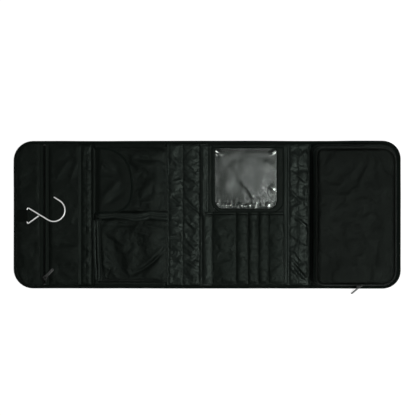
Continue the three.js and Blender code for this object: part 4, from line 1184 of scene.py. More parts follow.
class BAG_OT_hook_panel_zip(bpy.types.Operator):
    """Makes the zip of the hook panel: tapes, teeth, stops, slider and pull"""
    bl_idname = "bag.hook_panel_zip"
    bl_label = "Hook panel zip"

    def execute(self, context):
        y_end = HALF - LINING_INSET
        ys = steps(-y_end, y_end, 1.6 * MM)
        for side, word in ((-1, "left"), (1, "right")):
            low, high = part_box("hook_zip_tape_" + word)
            x = np.linspace(low[0], high[0], 9)
            across = np.abs(x - ZIP_X)
            rise = 0.55 + 0.25 * np.exp(-(((across - across.min()) / (1.6 * MM)) ** 2))
            wave = 0.12 * cloud(x[None, :] * 0 + 0.01 * side, ys[:, None], 26 * MM, 41)
            top = np.dstack([
                np.broadcast_to(x, (len(ys), len(x))), np.broadcast_to(ys[:, None], (len(ys), len(x))),
                BOARD_TOP + (rise[None, :] + wave) * MM])
            tape = slab("hook_zip_tape_" + word + "_cloth", top, top * [1, 1, 0] + UP * BOARD_TOP, "zip_tape")
            rides(tape, "hook_panel", "hook_zip_tape_" + word, slot="zip_tape")
            row_x = ZIP_X + side * TOOTH_ROW
            start = side * 0.25 * context.scene.bag_sizes.tooth_pitch
            ends = np.array([-HOOK_ZIP_END, HOOK_ZIP_END])
            path = line(row_x, ends + start, BOARD_TOP + 0.62 * MM)
            row = teeth("hook_zip_row_" + word, [path])
            rides(row, "hook_panel", "hook_zip_teeth_" + word, slot="zip_teeth")
            seam_x = (low if side < 0 else high)[0] + side * 1.4 * MM
            seam = line(seam_x, ys, BOARD_TOP + 1.05 * MM)
            rides(stitches("hook_zip_stitches_" + word, [seam]), "hook_panel", slot="lining")
        for word in ("lower", "upper"):
            stop = refined("hook_zip_stop_" + word, "hook_zip_end_" + word, "gunmetal", 0.25 * MM)
            rides(stop, "hook_panel", "hook_zip_stop_" + word, slot="gunmetal")
        # The slider's finish carries painted shade
        slider = refined("hook_zip_slider", "hook_zip_slider_plate", "slider", SLIDER_BEVEL)
        rides(slider, "hook_slider", "hook_zip_slider", slot="gunmetal")
        pull = refined("hook_zip_pull", "hook_zip_pull_tab", "gunmetal", PULL_BEVEL)
        rides(pull, "hook_pull", "hook_zip_pull", slot="gunmetal")
        return {"FINISHED"}


class BAG_OT_hanging_hook(bpy.types.Operator):
    """Makes the bent wire hook and the strap that holds its bar"""
    bl_idname = "bag.hanging_hook"
    bl_label = "Hanging hook"

    def execute(self, context):
        wire = refined("wire_hook", "hook_wire", "steel", 0.0, 2, 0.25 * MM)
        rides(wire, "hook", "wire_hook", slot="steel")
        lit_pieces("metal").objects.link(wire)
        strap = refined("hook_strap", "hook_strap_loop", "webbing", 0.25 * MM)
        rides(strap, "hook_panel", "hook_strap", slot="webbing")
        low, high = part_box("hook_strap")
        top = BOARD_TOP + 1.95 * MM
        tail = low[0] + 9 * MM
        middle = (low[1] + high[1]) / 2
        wide = (high[1] - low[1]) / 2 - 1.4 * MM
        front = low[0] + 1.4 * MM
        square = [(front, -wide), (tail, -wide), (tail, wide), (front, wide), (front, -wide)]
        sewn = stitches("hook_strap_stitches", [np.array([(x, middle + y, top) for x, y in square])])
        rides(sewn, "hook_panel", slot="webbing")
        return {"FINISHED"}


# Shapes of the pockets and their flap
MOUTH_X, POCKET_BACK = [corner[0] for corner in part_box("flap_pocket_front")]
FLAP_ROOT = joint_at("pocket_flap_lift")
FLAP_LOW, FLAP_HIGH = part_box("pocket_flap_binding")
FLAP_KNEE = FLAP_ROOT[0] + 6 * MM
FLAP_HIGH_CURVE, FLAP_LOW_CURVE = (62 * MM, 74 * MM), (40 * MM, 46 * MM)
FLAP_TAPE = 4 * MM
# The length from its hinge over which the flap would bend up; bends() takes it but does not use it
FLAP_BEND = 6 * MM
# Gathers beside each other, as side and height in millimetres
DIVIDER_SECTION = [
    (-9.6, 0.3), (-8.2, 2.8), (-6.2, 4.6), (-4.2, 5.2), (-2.4, 4.5), (-0.9, 3.7), (0.8, 4.3), (2.8, 5.6),
    (4.8, 5.7), (6.8, 4.8), (8.6, 3.0), (9.8, 0.3), (4.0, 0.0), (-4.0, 0.0),
]
MOUTH_SECTION = [
    (-4.4, 0.0), (-3.6, 1.3), (-2.3, 1.9), (-1.0, 1.3), (-0.1, 0.8), (0.9, 1.4), (2.2, 2.2), (3.5, 1.6),
    (4.2, 0.2), (2.4, -0.7), (-2.6, -0.7),
]
# The least height of a pocket's front, and the radius of its rounded corners
FRONT_LEAST_Z = BOARD_TOP + 0.45 * MM
FRONT_CORNER = 12 * MM
# Where the pockets' side seams turn into the seam at their back: how far in, and how round
SEAM_TURN = 9 * MM
SEAM_RADIUS = 8 * MM


def flap_edge(inset):
    """The flap's free edge from its low-Y end to its high-Y end."""
    x1, y0, y1 = FLAP_HIGH[0] - inset, FLAP_LOW[1] + inset, FLAP_HIGH[1] - inset
    low_x, low_y = FLAP_HIGH[0] - FLAP_LOW_CURVE[0], FLAP_LOW[1] + FLAP_LOW_CURVE[1]
    high_x, high_y = FLAP_HIGH[0] - FLAP_HIGH_CURVE[0], FLAP_HIGH[1] - FLAP_HIGH_CURVE[1]
    t = np.linspace(0, 1, 30)[:, None]

    def curve(start, middle, end):
        start, middle, end = map(np.array, (start, middle, end))
        return start * (1 - t) ** 2 + 2 * middle * t * (1 - t) + end * t * t

    xs = steps(FLAP_ROOT[0], low_x, 2.4 * MM)
    low = curve((low_x, y0), (x1, y0), (x1, low_y))
    high = curve((x1, high_y), (x1, y1), (high_x, y1))
    back = steps(high_x, FLAP_ROOT[0], 2.4 * MM)
    return np.concatenate([
        np.column_stack([xs, np.full(len(xs), y0)])[:-1], low, high,
        np.column_stack([back, np.full(len(back), y1)])[1:],
    ])


def flap_height(x):
    """Middle of the flap's cloth: up from its hem over the pocket's mouth, then flat."""
    top = FLAP_HIGH[2] - 1.2 * MM
    return FLAP_ROOT[2] + (top - FLAP_ROOT[2]) * ease(FLAP_ROOT[0] - 1 * MM, FLAP_KNEE + 5 * MM, x)


class BAG_OT_pockets(bpy.types.Operator):
    """Makes the two pocket fronts, the gathered mouth and the divider between them"""
    bl_idname = "bag.pockets"
    bl_label = "Pockets"

    def execute(self, context):
        sizes = context.scene.bag_sizes
        plans, cloths = [], []
        fronts = {"flap_pocket_front": FLAP_POCKET_FOLDS, "open_pocket_front": OPEN_POCKET_FOLDS}
        for name, lines in fronts.items():
            low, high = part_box(name)
            y0, y1 = low[1] - 0.8 * MM, high[1] + 0.8 * MM
            x0, x1 = MOUTH_X, POCKET_BACK + 2.6 * MM
            rows = steps(y0, y1, 2.3 * MM)

            def height(x, y, x0=x0, x1=x1, y0=y0, y1=y1, lines=lines):
                along, across = x1 - x, np.minimum(y - y0, y1 - y)
                corner = (along < FRONT_CORNER) & (across < FRONT_CORNER)
                round_way = FRONT_CORNER - np.hypot(FRONT_CORNER - along, FRONT_CORNER - across)
                deep = np.where(corner, round_way, np.minimum(along, across))
                rise = ease(0.6 * MM, 8.5 * MM, deep) * (0.35 + 0.65 * ease(0, 34 * MM, x1 - x))
                slack = 0.7 * (1 - ease(0, 40 * MM, x - x0))
                return BOARD_TOP + (0.55 + (3.5 + slack) * rise) * MM + folds(x, y, lines) * rise

            share = steps(0, 1, 2.3 * MM / (x1 - x0))
            grid = sheet_grid(lambda y: (x0, x1), rows, share, height)
            sewn = sewn_edges(grid)
            sewn[1] = sewn[-2] = sewn[:, -2] = True
            cloths.append(Cloth(name, grid, sewn, 0.02, 0.25, 1.4 * MM, 1.4 * MM))
            plans.append((name, grid))
        settled = settle_all(cloths, sizes.wrinkle_depth)
        for (name, plan), grid in zip(plans, settled):
            grid[..., 2] = np.maximum(grid[..., 2], FRONT_LEAST_Z)
            if name == "flap_pocket_front":
                under_flap = ease(FLAP_HIGH[0] + 3 * MM, FLAP_HIGH[0] - 3 * MM, grid[..., 0])
                limit = np.maximum(flap_height(grid[..., 0]) - 0.75 * MM, FRONT_LEAST_Z)
                grid[..., 2] += (np.minimum(grid[..., 2], limit) - grid[..., 2]) * under_flap
            made = sewn_sheet(name + "_cloth", grid, sizes.cloth_thickness, "nylon")
            cut_sheet(made, plan, 0.02, "stretched", "pocket_panel_pad")
            rides(made, "pocket_panel", name)
            rides(stitches(name + "_stitches", [self.front_seam(plan)]), "pocket_panel")
        self.bind_mouth(settled[1][2:-2, 0])
        self.lay_pleat()
        self.lay_divider()
        return {"FINISHED"}

    def front_seam(self, plan):
        """The seam of a pocket's front, which is rounded on its way round the back."""
        low_y, high_y = plan[0, 0, 1], plan[-1, 0, 1]
        y, turn_x = low_y + 1.6 * MM, POCKET_BACK - SEAM_TURN
        seam = [(MOUTH_X + 2 * MM, y), (turn_x, y)]
        seam += [(turn_x + SEAM_RADIUS * math.sin(a), y + SEAM_RADIUS * (1 - math.cos(a)))
                 for a in np.linspace(0.2, math.pi / 2, 6)]
        seam += [(x, high_y + low_y - y) for x, y in seam[::-1]]
        return at_height(seam, BOARD_TOP + 1.0 * MM)

    def bind_mouth(self, mouth):
        """The gathered elastic edge along the mouth of the open pocket."""
        wave = 0.9 * MM * cloud(mouth[:, 1], mouth[:, 1] * 0, 24 * MM, 51)
        path = np.column_stack([mouth[:, 0] - 0.9 * MM + wave, mouth[:, 1], mouth[:, 2] - 0.1 * MM])
        coarse_share, share = np.linspace(0, 1, len(path)), np.linspace(0, 1, len(path) * 4)
        fine = np.column_stack([np.interp(share, coarse_share, c) for c in path.T])
        y = fine[:, 1]
        gather = 1 + 0.2 * np.sin(y * 2 * math.pi / (2.4 * MM) + 2 * cloud(y, y, 8 * MM, 53))
        knot = 1 + 0.5 * np.exp(-(((y - y.max()) / (5 * MM)) ** 2))
        lean = 3.2 * MM * ease(-40 * MM, -118 * MM, y) - 0.4 * MM
        fine = fine + np.array([1, 0, 0]) * lean[:, None]
        band = sweep("open_pocket_mouth_tape", fine, np.array(MOUTH_SECTION) * MM, "satin",
                     side_gain=gather * knot, up_gain=gather)
        rides(band, "pocket_panel", "open_pocket_mouth_band", slot="binding")

    def lay_pleat(self):
        """The turned-in side of the open pocket's mouth."""
        ys = steps(-10 * MM, -120 * MM, 1.4 * MM)
        lean = 3.4 * MM * ease(-60 * MM, -120 * MM, ys)
        xs = -208 * MM + lean + 0.8 * MM * cloud(ys, ys * 0, 26 * MM, 54)
        path = line(xs, ys, BOARD_TOP + 0.2 * MM)
        puff = 1 + 0.25 * cloud(ys, ys * 0, 11 * MM, 55)
        pleat = sweep("open_pocket_mouth_pleat", path, tape_section(7.0 * MM, 4.6 * MM, 1.2 * MM), "satin",
                      side_gain=puff, up_gain=puff)
        rides(pleat, "pocket_panel", slot="lining")

    def lay_divider(self):
        """The gathered tape between the two pockets."""
        low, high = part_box("pocket_divider_tape")
        xs = steps(low[0] - 4 * MM, high[0] + 2 * MM, 1.1 * MM)
        middle = (low[1] + high[1]) / 2
        sway = 3.9 * MM * cloud(xs, xs * 0, 34 * MM, 57) - 1.8 * MM
        path = line(xs, middle + sway, BOARD_TOP)
        swell = 0.72 + 0.28 * ease(-170 * MM, -120 * MM, xs)
        gather = swell * (1 + 0.1 * cloud(xs, xs * 0, 9 * MM, 58)) * ease(xs[0] - 4 * MM, xs[0] + 5 * MM, xs)
        section = np.array(DIVIDER_SECTION) * MM
        divider = sweep("pocket_divider_cloth", path, section, "satin", side_gain=gather, up_gain=gather)
        rides(divider, "pocket_panel", "pocket_divider_tape", slot="binding")


class BAG_OT_pocket_flap(bpy.types.Operator):
    """Makes the bound flap of the upper pocket and the hem that carries it"""
    bl_idname = "bag.pocket_flap"
    bl_label = "Pocket flap"

    def execute(self, context):
        edge = flap_edge(FLAP_TAPE / 2)
        rows = np.unique(np.round(edge[:, 1], 6))
        order = np.argsort(edge[:, 1])
        end_x = np.interp(rows, edge[order, 1], edge[order, 0])
        # Along its two straight sides the flap ends where its curves start
        end_x[0], end_x[-1] = FLAP_HIGH[0] - FLAP_LOW_CURVE[0], FLAP_HIGH[0] - FLAP_HIGH_CURVE[0]
        ends = dict(zip(rows, end_x))
        middle_y = (FLAP_LOW[1] + FLAP_HIGH[1]) / 2

        def height(x, y):
            free = ease(0, 10 * MM, x - FLAP_KNEE)
            soft = 0.35 * MM * cloud(x, y, 34 * MM, 61) - 0.25 * MM * ((y - middle_y) / (60 * MM)) ** 2
            return flap_height(x) + 0.35 * MM + free * (soft + folds(x, y, FLAP_FOLDS))

        across = np.unique(np.concatenate([steps(0, 0.12, 0.012), steps(0.12, 1, 0.035)]))
        grid = sheet_grid(lambda y: (FLAP_ROOT[0], ends[y]), rows, across, height)
        sheet = sewn_sheet("pocket_flap_cloth", grid, FLAP_THICKNESS, "nylon")
        cut_sheet(sheet, grid, 0.005, "laid", "flap_pocket_front_cloth")
        hinge = ("pocket_panel", "pocket_flap", FLAP_ROOT[0], FLAP_ROOT[0] + FLAP_BEND)
        bends(sheet, *hinge, "pocket_flap")
        path = ruffle(at_height(edge, flap_height(edge[:, 0])), 0.3 * MM, 16 * MM, 63)
        puff = 1 + 0.08 * cloud(path[:, 0], path[:, 1], 11 * MM, 64)
        section = tape_section(FLAP_TAPE, 1.7 * MM, 0.0, 14)
        tape = sweep("pocket_flap_tape", path, section, "binding", up_gain=puff)
        bends(tape, *hinge, "pocket_flap_binding", slot="binding")
        seam = flap_edge(FLAP_TAPE - 0.9 * MM)[1:-1]
        seam = at_height(seam, flap_height(seam[:, 0]) + 0.78 * MM)
        bends(stitches("pocket_flap_stitches", [seam]), *hinge, slot="binding")
        low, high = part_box("pocket_flap_hem")
        ys = steps(low[1], high[1], 2 * MM)
        path = line((low[0] + high[0]) / 2, ys, BOARD_TOP)
        path = ruffle(path, 0.25 * MM, 20 * MM, 65)
        section = tape_section(high[0] - low[0] + 2 * MM, 3 * MM, 1.2 * MM)
        hem = sweep("pocket_flap_hem_cloth", path, section, "nylon")
        rides(hem, "pocket_panel", "pocket_flap_hem")
        rides(stitches("pocket_flap_hem_stitches", [path + UP * 2.65 * MM]), "pocket_panel")
        return {"FINISHED"}


# Shapes of the brush panel
CHANNEL_SEAMS = [BRUSH_START + x * MM for x in (3.7, 22.7, 65.9, 87.9, 106.8, 125.7, 154.5)]
WINDOW_LOW, WINDOW_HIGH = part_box("window_flap_frame")
WINDOW_CORNER, VINYL_CORNER = 22 * MM, 15 * MM
# How wide the window's frame is on each side
BORDER = {"left": 6 * MM, "right": 13.4 * MM, "top": 2.2 * MM, "bottom": 7.2 * MM}


# Where the channels bulge, in Y and in millimetres, and the phase of the wave that runs across them there
CHANNEL_BULGES = ((-30, 0.4), (-78, 2.1), (-112, 4.0))
# The edge strip: its straight side, and where it widens to lie over the first channel
STRIP_X = -13.2 * MM
STRIP_STEP = (-6 * MM, 5 * MM)


def arch(x):
    """Height from 0 to 1 of the cloth between two channel seams, steeper on the high-X side."""
    total = np.zeros_like(x)
    for start, end in zip(CHANNEL_SEAMS, CHANNEL_SEAMS[1:]):
        t = np.clip((x - start) / (end - start), 0, 1)
        wide = end - start > 25 * MM
        shape = 0.72 * np.sin(np.pi * t) ** 0.4 if wide else np.sin(np.pi * t ** 0.72) ** 0.6
        total = np.where((t > 0) & (t < 1), shape, total)
    return total


class BAG_OT_brush_channels(bpy.types.Operator):
    """Makes the sheet sewn into channels, with its bound mouths"""
    bl_idname = "bag.brush_channels"
    bl_label = "Brush channels"

    def execute(self, context):
        sizes = context.scene.bag_sizes
        low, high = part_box("brush_channel_sheet")
        rows = steps(low[1], high[1], 2.4 * MM)
        parts = []
        for start, end in zip(CHANNEL_SEAMS, CHANNEL_SEAMS[1:]):
            share = np.linspace(0, 1, int((end - start) / (1.5 * MM)) + 1)[:-1]
            parts.append(start + (end - start) * (0.35 * share + 0.65 * (0.5 - 0.5 * np.cos(np.pi * share))))
        xs = np.concatenate([[low[0] - 0.9 * MM], *parts, [CHANNEL_SEAMS[-1]]])

        def height(x, y):
            rise = arch(x) * ease(0, 9 * MM, y - low[1])
            grow = 0.82 + 0.18 * ease(-0.05, 0.0, y)
            line = sum(0.5 * MM * np.exp(-(((y - place * MM) / (14 * MM)) ** 2)) * np.sin(x * 90 + turn)
                       for place, turn in CHANNEL_BULGES)
            return BOARD_TOP + (0.5 + 3.5 * rise * grow) * MM + line * rise

        share = (xs - xs[0]) / (xs[-1] - xs[0])
        grid = sheet_grid(lambda y: (xs[0], xs[-1]), rows, share, height)
        x = grid[..., 0]
        sewn = sewn_edges(grid)
        sewn[1] = True
        for seam in CHANNEL_SEAMS:
            sewn |= np.abs(x - seam) < 0.4 * MM
        cloth = Cloth("brush_channel_sheet", grid, sewn, 0.014, 0.3, 0.6 * MM, 0.5 * MM)
        settled = settle_all([cloth], sizes.wrinkle_depth)[0]
        settled[..., 2] = np.maximum(settled[..., 2], BOARD_TOP + 0.5 * MM)
        made = sewn_sheet("brush_channel_cloth", settled, sizes.cloth_thickness, "lining")
        cut_sheet(made, grid, 0.015, "stretched", "brush_panel_pad")
        rides(made, "brush_panel", "brush_channel_sheet", slot="lining")
        ys = steps(low[1] + 2 * MM, high[1] - 1 * MM, 2 * MM)
        seams = [line(seam, ys, BOARD_TOP + 0.75 * MM) for seam in CHANNEL_SEAMS[1:]]
        seams.append(line(xs[1:], low[1] + 1.4 * MM, BOARD_TOP + 0.78 * MM))
        rides(stitches("brush_channel_stitches", seams), "brush_panel", slot="lining")
        low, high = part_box("brush_mouth_binding")
        fine = steps(low[0], high[0], 0.9 * MM)
        middle = (low[1] + high[1]) / 2
        wave = 0.35 * MM * cloud(fine, fine * 0, 16 * MM, 71)
        lift = (0.45 + 3.0 * arch(fine)) * MM
        path = line(fine, middle + wave, BOARD_TOP + lift)
        wide = tape_section(high[1] - low[1] + 1.8 * MM, 1.5 * MM, 0.0, 12)
        tape = sweep("brush_mouth_tape", path + np.array([0, 1, 0]) * MM, wide, "lining")
        rides(tape, "brush_panel", "brush_mouth_binding", slot="binding")
        seam = path[2:-2] + UP * 0.76 * MM + np.array([0, -0.6 * MM, 0])
        rides(stitches("brush_mouth_stitches", [seam]), "brush_panel", slot="binding")
        self.lay_strip()
        return {"FINISHED"}

    def lay_strip(self):
        """The turned edge of the spine's lining, which lies beside the window and over the first channel."""
        y_end = HALF - LINING_INSET
        rows = steps(-y_end, y_end, 2.0 * MM)

        def edges(y):
            return STRIP_X, (2.6 + 6.6 * (1 - float(ease(*STRIP_STEP, y)))) * MM

        def height(x, y):
            upper = ease(*STRIP_STEP, y)
            under = 3.5 * arch(x) * (1 - upper)
            wander = 1.2 * MM * cloud(y, y * 0, 34 * MM, 74)
            ridge = 2.4 * np.exp(-(((x + 6.6 * MM + wander) / (4.4 * MM)) ** 2)) * upper
            second = 0.9 * np.exp(-(((x - 0.6 * MM - wander) / (2.2 * MM)) ** 2)) * upper
            rough = 0.35 * cloud(x, y, 9 * MM, 75) + 0.8 * creases(x, y, 0.7, 14 * MM, 6 * MM, 76)
            deep = ease(0, 3 * MM, y_end - np.abs(y)) * ease(0, 2 * MM, x - STRIP_X)
            return BOARD_TOP + (0.8 + (under + ridge + second + rough + 0.3) * deep) * MM

        grid = sheet_grid(edges, rows, 20, height)
        thickness = bpy.context.scene.bag_sizes.cloth_thickness
        strip = sewn_sheet("brush_edge_strip", grid, thickness, "satin")
        cut_sheet(strip, grid, 0.03, "gathered", "brush_panel_pad")
        rides(strip, "brush_panel", slot="lining")


# The window's frame from its outer to its inner edge, as shares of its width and of its height
FRAME_SECTION = (
    (0.0, 0.25), (0.012, 0.8), (0.06, 1.15), (0.2, 1.0), (0.5, 1.1), (0.85, 1.0), (0.97, 0.7), (1.0, 0.2),
)
# How far the frame's two seams, its edge tape and the vinyl's lower edge lie from its own edges
FRAME_SEAM, FRAME_INNER_SEAM, FRAME_TAPE, VINYL_LAP = 2.6 * MM, 1.6 * MM, 0.9 * MM, 1.6 * MM


def window_ring(inset, spread, corner, z):
    """Points round the window flap, inset by a share of each border, square at the hinge side."""
    x0 = WINDOW_LOW[0] + BORDER["left"] * inset + spread
    x1 = WINDOW_HIGH[0] - BORDER["right"] * inset - spread
    y0 = WINDOW_LOW[1] + BORDER["bottom"] * inset + spread
    y1 = WINDOW_HIGH[1] - BORDER["top"] * inset - spread
    turn = np.linspace(0, math.pi / 2, 12)
    small = 2 * MM + 6 * MM * inset
    corners = (
        (x1 - corner, y0 + corner, corner, -math.pi / 2), (x1 - small, y1 - small, small, 0.0),
        (x0 + small, y1 - small, small, math.pi / 2), (x0 + corner, y0 + corner, corner, math.pi),
    )
    points = []
    for number, (x, y, radius, start) in enumerate(corners):
        arc = np.column_stack([x + radius * np.cos(start + turn), y + radius * np.sin(start + turn)])
        points.append(arc)
        nx, ny, nr, ns = corners[(number + 1) % 4]
        following = np.array([nx + nr * math.cos(ns), ny + nr * math.sin(ns)])
        points.append(arc[-1] + (following - arc[-1]) * np.linspace(0, 1, 46)[1:-1, None])
    return at_height(np.concatenate(points), z)


def lifts(made, *nodes, slot="nylon"):
    """Bakes a piece of the window flap into place and hides the nodes that it replaces."""
    hinge_y = joint_at("window_flap_lift")[1]
    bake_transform(made)
    return fitted(made, nodes, slot)


class BAG_OT_window_flap(bpy.types.Operator):
    """Makes the clear window, its padded frame and its hem"""
    bl_idname = "bag.window_flap"
    bl_label = "Window flap"

    def execute(self, context):
        base, top = WINDOW_LOW[2], WINDOW_HIGH[2]
        outer, inner = window_ring(0, 0, WINDOW_CORNER, 0.0), window_ring(1, 0, VINYL_CORNER, 0.0)
        wave = 0.12 * MM * cloud(outer[:, 0], outer[:, 1], 24 * MM, 81)
        rings = []
        for share, height in FRAME_SECTION:
            z = base + (top - base) * height + wave * math.sin(math.pi * share)
            rings.append(outer + (inner - outer) * share + UP * z[:, None])
        rings += [outer + (inner - outer) * share + UP * (base - 0.05 * MM) for share in (0.97, 0.5, 0.03)]
        frame_cloth = tube("window_frame_cloth", np.stack(rings, 1), "nylon", closed=True)
        lifts(frame_cloth, "window_flap_frame")
        edge_top = top + 0.1 * MM
        seams = []
        for inset, spread, corner in ((0, FRAME_SEAM, WINDOW_CORNER), (1, -FRAME_INNER_SEAM, VINYL_CORNER)):
            ring = window_ring(inset, spread, corner - spread, edge_top)
            seams.append(np.concatenate([ring, ring[:1]]))
        lifts(stitches("window_frame_stitches", seams))
        ring = window_ring(0, FRAME_TAPE, WINDOW_CORNER - FRAME_TAPE, (base + top) / 2)
        section = tape_section(2.4 * MM, 1.5 * MM, 0.05 * MM, 12)
        edge = sweep("window_frame_tape", ring, section, "binding", closed=True)
        lifts(edge, slot="binding")
        (x0, y0, _), (x1, y1, _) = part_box("clear_window")
        y0 -= VINYL_LAP
        rows = corner_rows(y0, y1, 6 * MM, 1.6 * MM)

        def height(x, y):
            deep = np.minimum(np.minimum(x - x0, x1 - x), np.minimum(y - y0, y1 - y))
            free, near = ease(1 * MM, 12 * MM, deep), ease(1 * MM, 5 * MM, deep)
            soft = 0.85 * cloud(x, y, 48 * MM, 83) + 0.12 * cloud(x, y, 17 * MM, 84)
            foot = np.exp(-(((y - y0 - 8 * MM) / (6 * MM)) ** 2)) * creases(x, y, 1.45, 16 * MM, 6.5 * MM, 85)
            uneven = (0.45 * free * soft + 0.75 * near * foot) * MM
            return base - 0.1 * MM + uneven + near * folds(x, y, VINYL_FOLDS)

        grid = sheet_grid(rounded_edges(x0, x1, y0, y1, 6 * MM, 6 * MM), rows, 76, height)
        window = sewn_sheet("window_vinyl", grid, VINYL_THICKNESS, "vinyl")
        cut_sheet(window, grid, 0.0, "stretched", "window_frame_cloth")
        lifts(window, "clear_window", slot="vinyl")
        lit_pieces("vinyl").objects.link(window)
        low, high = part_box("window_flap_hem")
        xs = steps(low[0], high[0], 2 * MM)
        path = line(xs, (low[1] + high[1]) / 2, BOARD_TOP)
        hem = sweep("window_hem_cloth", path, tape_section(high[1] - low[1], 0.6 * MM, 0.3 * MM), "nylon")
        rides(hem, "brush_panel", "window_flap_hem")
        rides(stitches("window_hem_stitches", [path + UP * 0.6 * MM]), "brush_panel")
        return {"FINISHED"}


# Shapes of the pouch
(POUCH_LOW, _, POUCH_BASE_Z), (POUCH_FAR, POUCH_SIDE, GUSSET_TOP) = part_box("pouch_lower_gusset")
ZIP_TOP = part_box("pouch_lid_gusset")[0][2]
ZIP_MIDDLE = (GUSSET_TOP + ZIP_TOP) / 2
LID_SHOULDER, LID_TOP = [corner[2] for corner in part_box("pouch_lid_panel")]
POUCH_LEVELS = (POUCH_BASE_Z, GUSSET_TOP, ZIP_TOP, LID_SHOULDER, LID_TOP)
# How far the wall stands in at those levels: on the hinge side, and on the other three
NEAR_INSETS = (0, 2.8 * MM, 4.5 * MM, 7.4 * MM, 10.4 * MM)
FREE_INSETS = (0, 0.9 * MM, 2.3 * MM, 2.9 * MM, 4.0 * MM)
POUCH_LEAN = 3 * MM
POUCH_NEAR_CORNER, POUCH_FAR_CORNER = 14 * MM, 26.2 * MM
# How many points each side of a ring round the pouch takes, and each corner
RING_SIDES = (78, 96, 78, 96)
RING_CORNER = 12
# The lid's cloth is sewn in this far from the edge of its top
RIM_INSET = 1.6 * MM


def pouch_ring(z, inward=0.0):
    """Points round the pouch's wall at a height, counter-clockwise from the low-Y, near corner."""
    near_inset = float(np.interp(z, POUCH_LEVELS, NEAR_INSETS)) + inward
    inset = float(np.interp(z, POUCH_LEVELS, FREE_INSETS)) + inward
    lean = POUCH_LEAN * (z - POUCH_BASE_Z) / (LID_TOP - POUCH_BASE_Z)
    x0, x1 = POUCH_LOW + near_inset, POUCH_FAR - inset
    y0, y1 = inset - POUCH_SIDE - lean, POUCH_SIDE - inset - lean
    near, far = max(POUCH_NEAR_CORNER - inward, MM), max(POUCH_FAR_CORNER - inward, MM)
    corners = ((x1, y0, far, -1, 1, -math.pi / 2), (x1, y1, far, -1, -1, 0.0),
               (x0, y1, near, 1, -1, math.pi / 2), (x0, y0, near, 1, 1, math.pi))
    turn = np.linspace(0, math.pi / 2, RING_CORNER)
    arcs = []
    for x, y, radius, to_x, to_y, start in corners:
        centre = np.array([x + to_x * radius, y + to_y * radius])
        arcs.append(centre + radius * np.column_stack([np.cos(start + turn), np.sin(start + turn)]))
    points = []
    for number, count in enumerate(RING_SIDES):
        before, arc = arcs[number - 1], arcs[number]
        points.append(before[-1] + (arc[0] - before[-1]) * np.linspace(0, 1, count)[1:-1, None])
        points.append(arc)
    return at_height(np.concatenate(points), z)


def lid_part(ring):
    """The stretch of a ring on the zip's side of the lid's hinge, from its high-Y end to its low-Y end."""
    x = ring.reshape(len(ring), -1)[:, 0]
    far = int(np.argmax(x))
    return np.roll(ring, -far, axis=0)[np.roll(x, -far) < LID_HINGE[0] - 0.3 * MM]


def pouch_wall(name, levels, thickness, material_name, all_round=True, pucker=0.0, bulge=0.0):
    """A band of the pouch's wall through heights, with its own inner face."""
    low, high = levels[0], levels[-1]
    arc = distances(pouch_ring(low))
    outer, inner = [], []
    for z in levels:
        share = (z - low) / (high - low)
        ring = pouch_ring(z)
        side = frames_along(ring, closed=True)
        lines = creases(arc, np.full(len(arc), z * 0.35), 1.57, 9 * MM, 4.6 * MM, 91)
        soft = cloud(arc, np.full(len(arc), z), 30 * MM, 92)
        out = math.sin(math.pi * share) * (bulge + pucker * (0.9 * lines + 0.6 * soft))
        outer.append(ring + side * out[:, None])
        inner.append(ring + side * (out - thickness)[:, None])
    rings = np.stack(outer + inner[::-1], 1)
    if all_round:
        return tube(name, rings, material_name, closed=True)
    return tube(name, lid_part(rings), material_name)


def hinged(made, *nodes, slot="nylon"):
    """Bakes a piece of the lid's side into place and hides the nodes that it replaces."""
    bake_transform(made)
    return fitted(made, nodes, slot)


class BAG_OT_pouch_walls(bpy.types.Operator):
    """Makes the puckered gusset of the pouch, below and above its zip"""
    bl_idname = "bag.pouch_walls"
    bl_label = "Pouch walls"

    def execute(self, context):
        levels = steps(POUCH_BASE_Z - 0.1 * MM, GUSSET_TOP, 1.3 * MM)
        lower = pouch_wall("pouch_gusset_cloth", levels, WALL_THICKNESS, "gusset",
                           pucker=1.3 * MM, bulge=0.5 * MM)
        rides(lower, "pouch", "pouch_lower_gusset")
        levels = steps(ZIP_TOP, LID_SHOULDER + 0.8 * MM, 1.2 * MM)
        upper = pouch_wall("pouch_lid_wall_cloth", levels, WALL_THICKNESS, "gusset",
                           pucker=1.2 * MM, bulge=0.3 * MM)
        hinged(upper, "pouch_lid_gusset", "pouch_rear_gusset")
        rides(pouch_wall_rear(), "pouch")
        return {"FINISHED"}


def pouch_wall_rear():
    """The wall behind the zip's two ends, which stays with the pouch."""
    outer, inner = [], []
    for z in steps(GUSSET_TOP - 0.2 * MM, ZIP_TOP + 0.2 * MM, 1.3 * MM):
        ring = pouch_ring(z)
        side = frames_along(ring, closed=True)
        outer.append(ring + side * 0.1 * MM)
        inner.append(ring - side * 1.1 * MM)
    rings = np.stack(outer + inner[::-1], 1)
    near = int(np.argmin(rings[:, 0, 0]))
    rings = np.roll(rings, -near, axis=0)
    rings = rings[rings[:, 0, 0] > LID_HINGE[0] - 0.5 * MM]
    return tube("pouch_rear_wall_cloth", rings, "gusset")


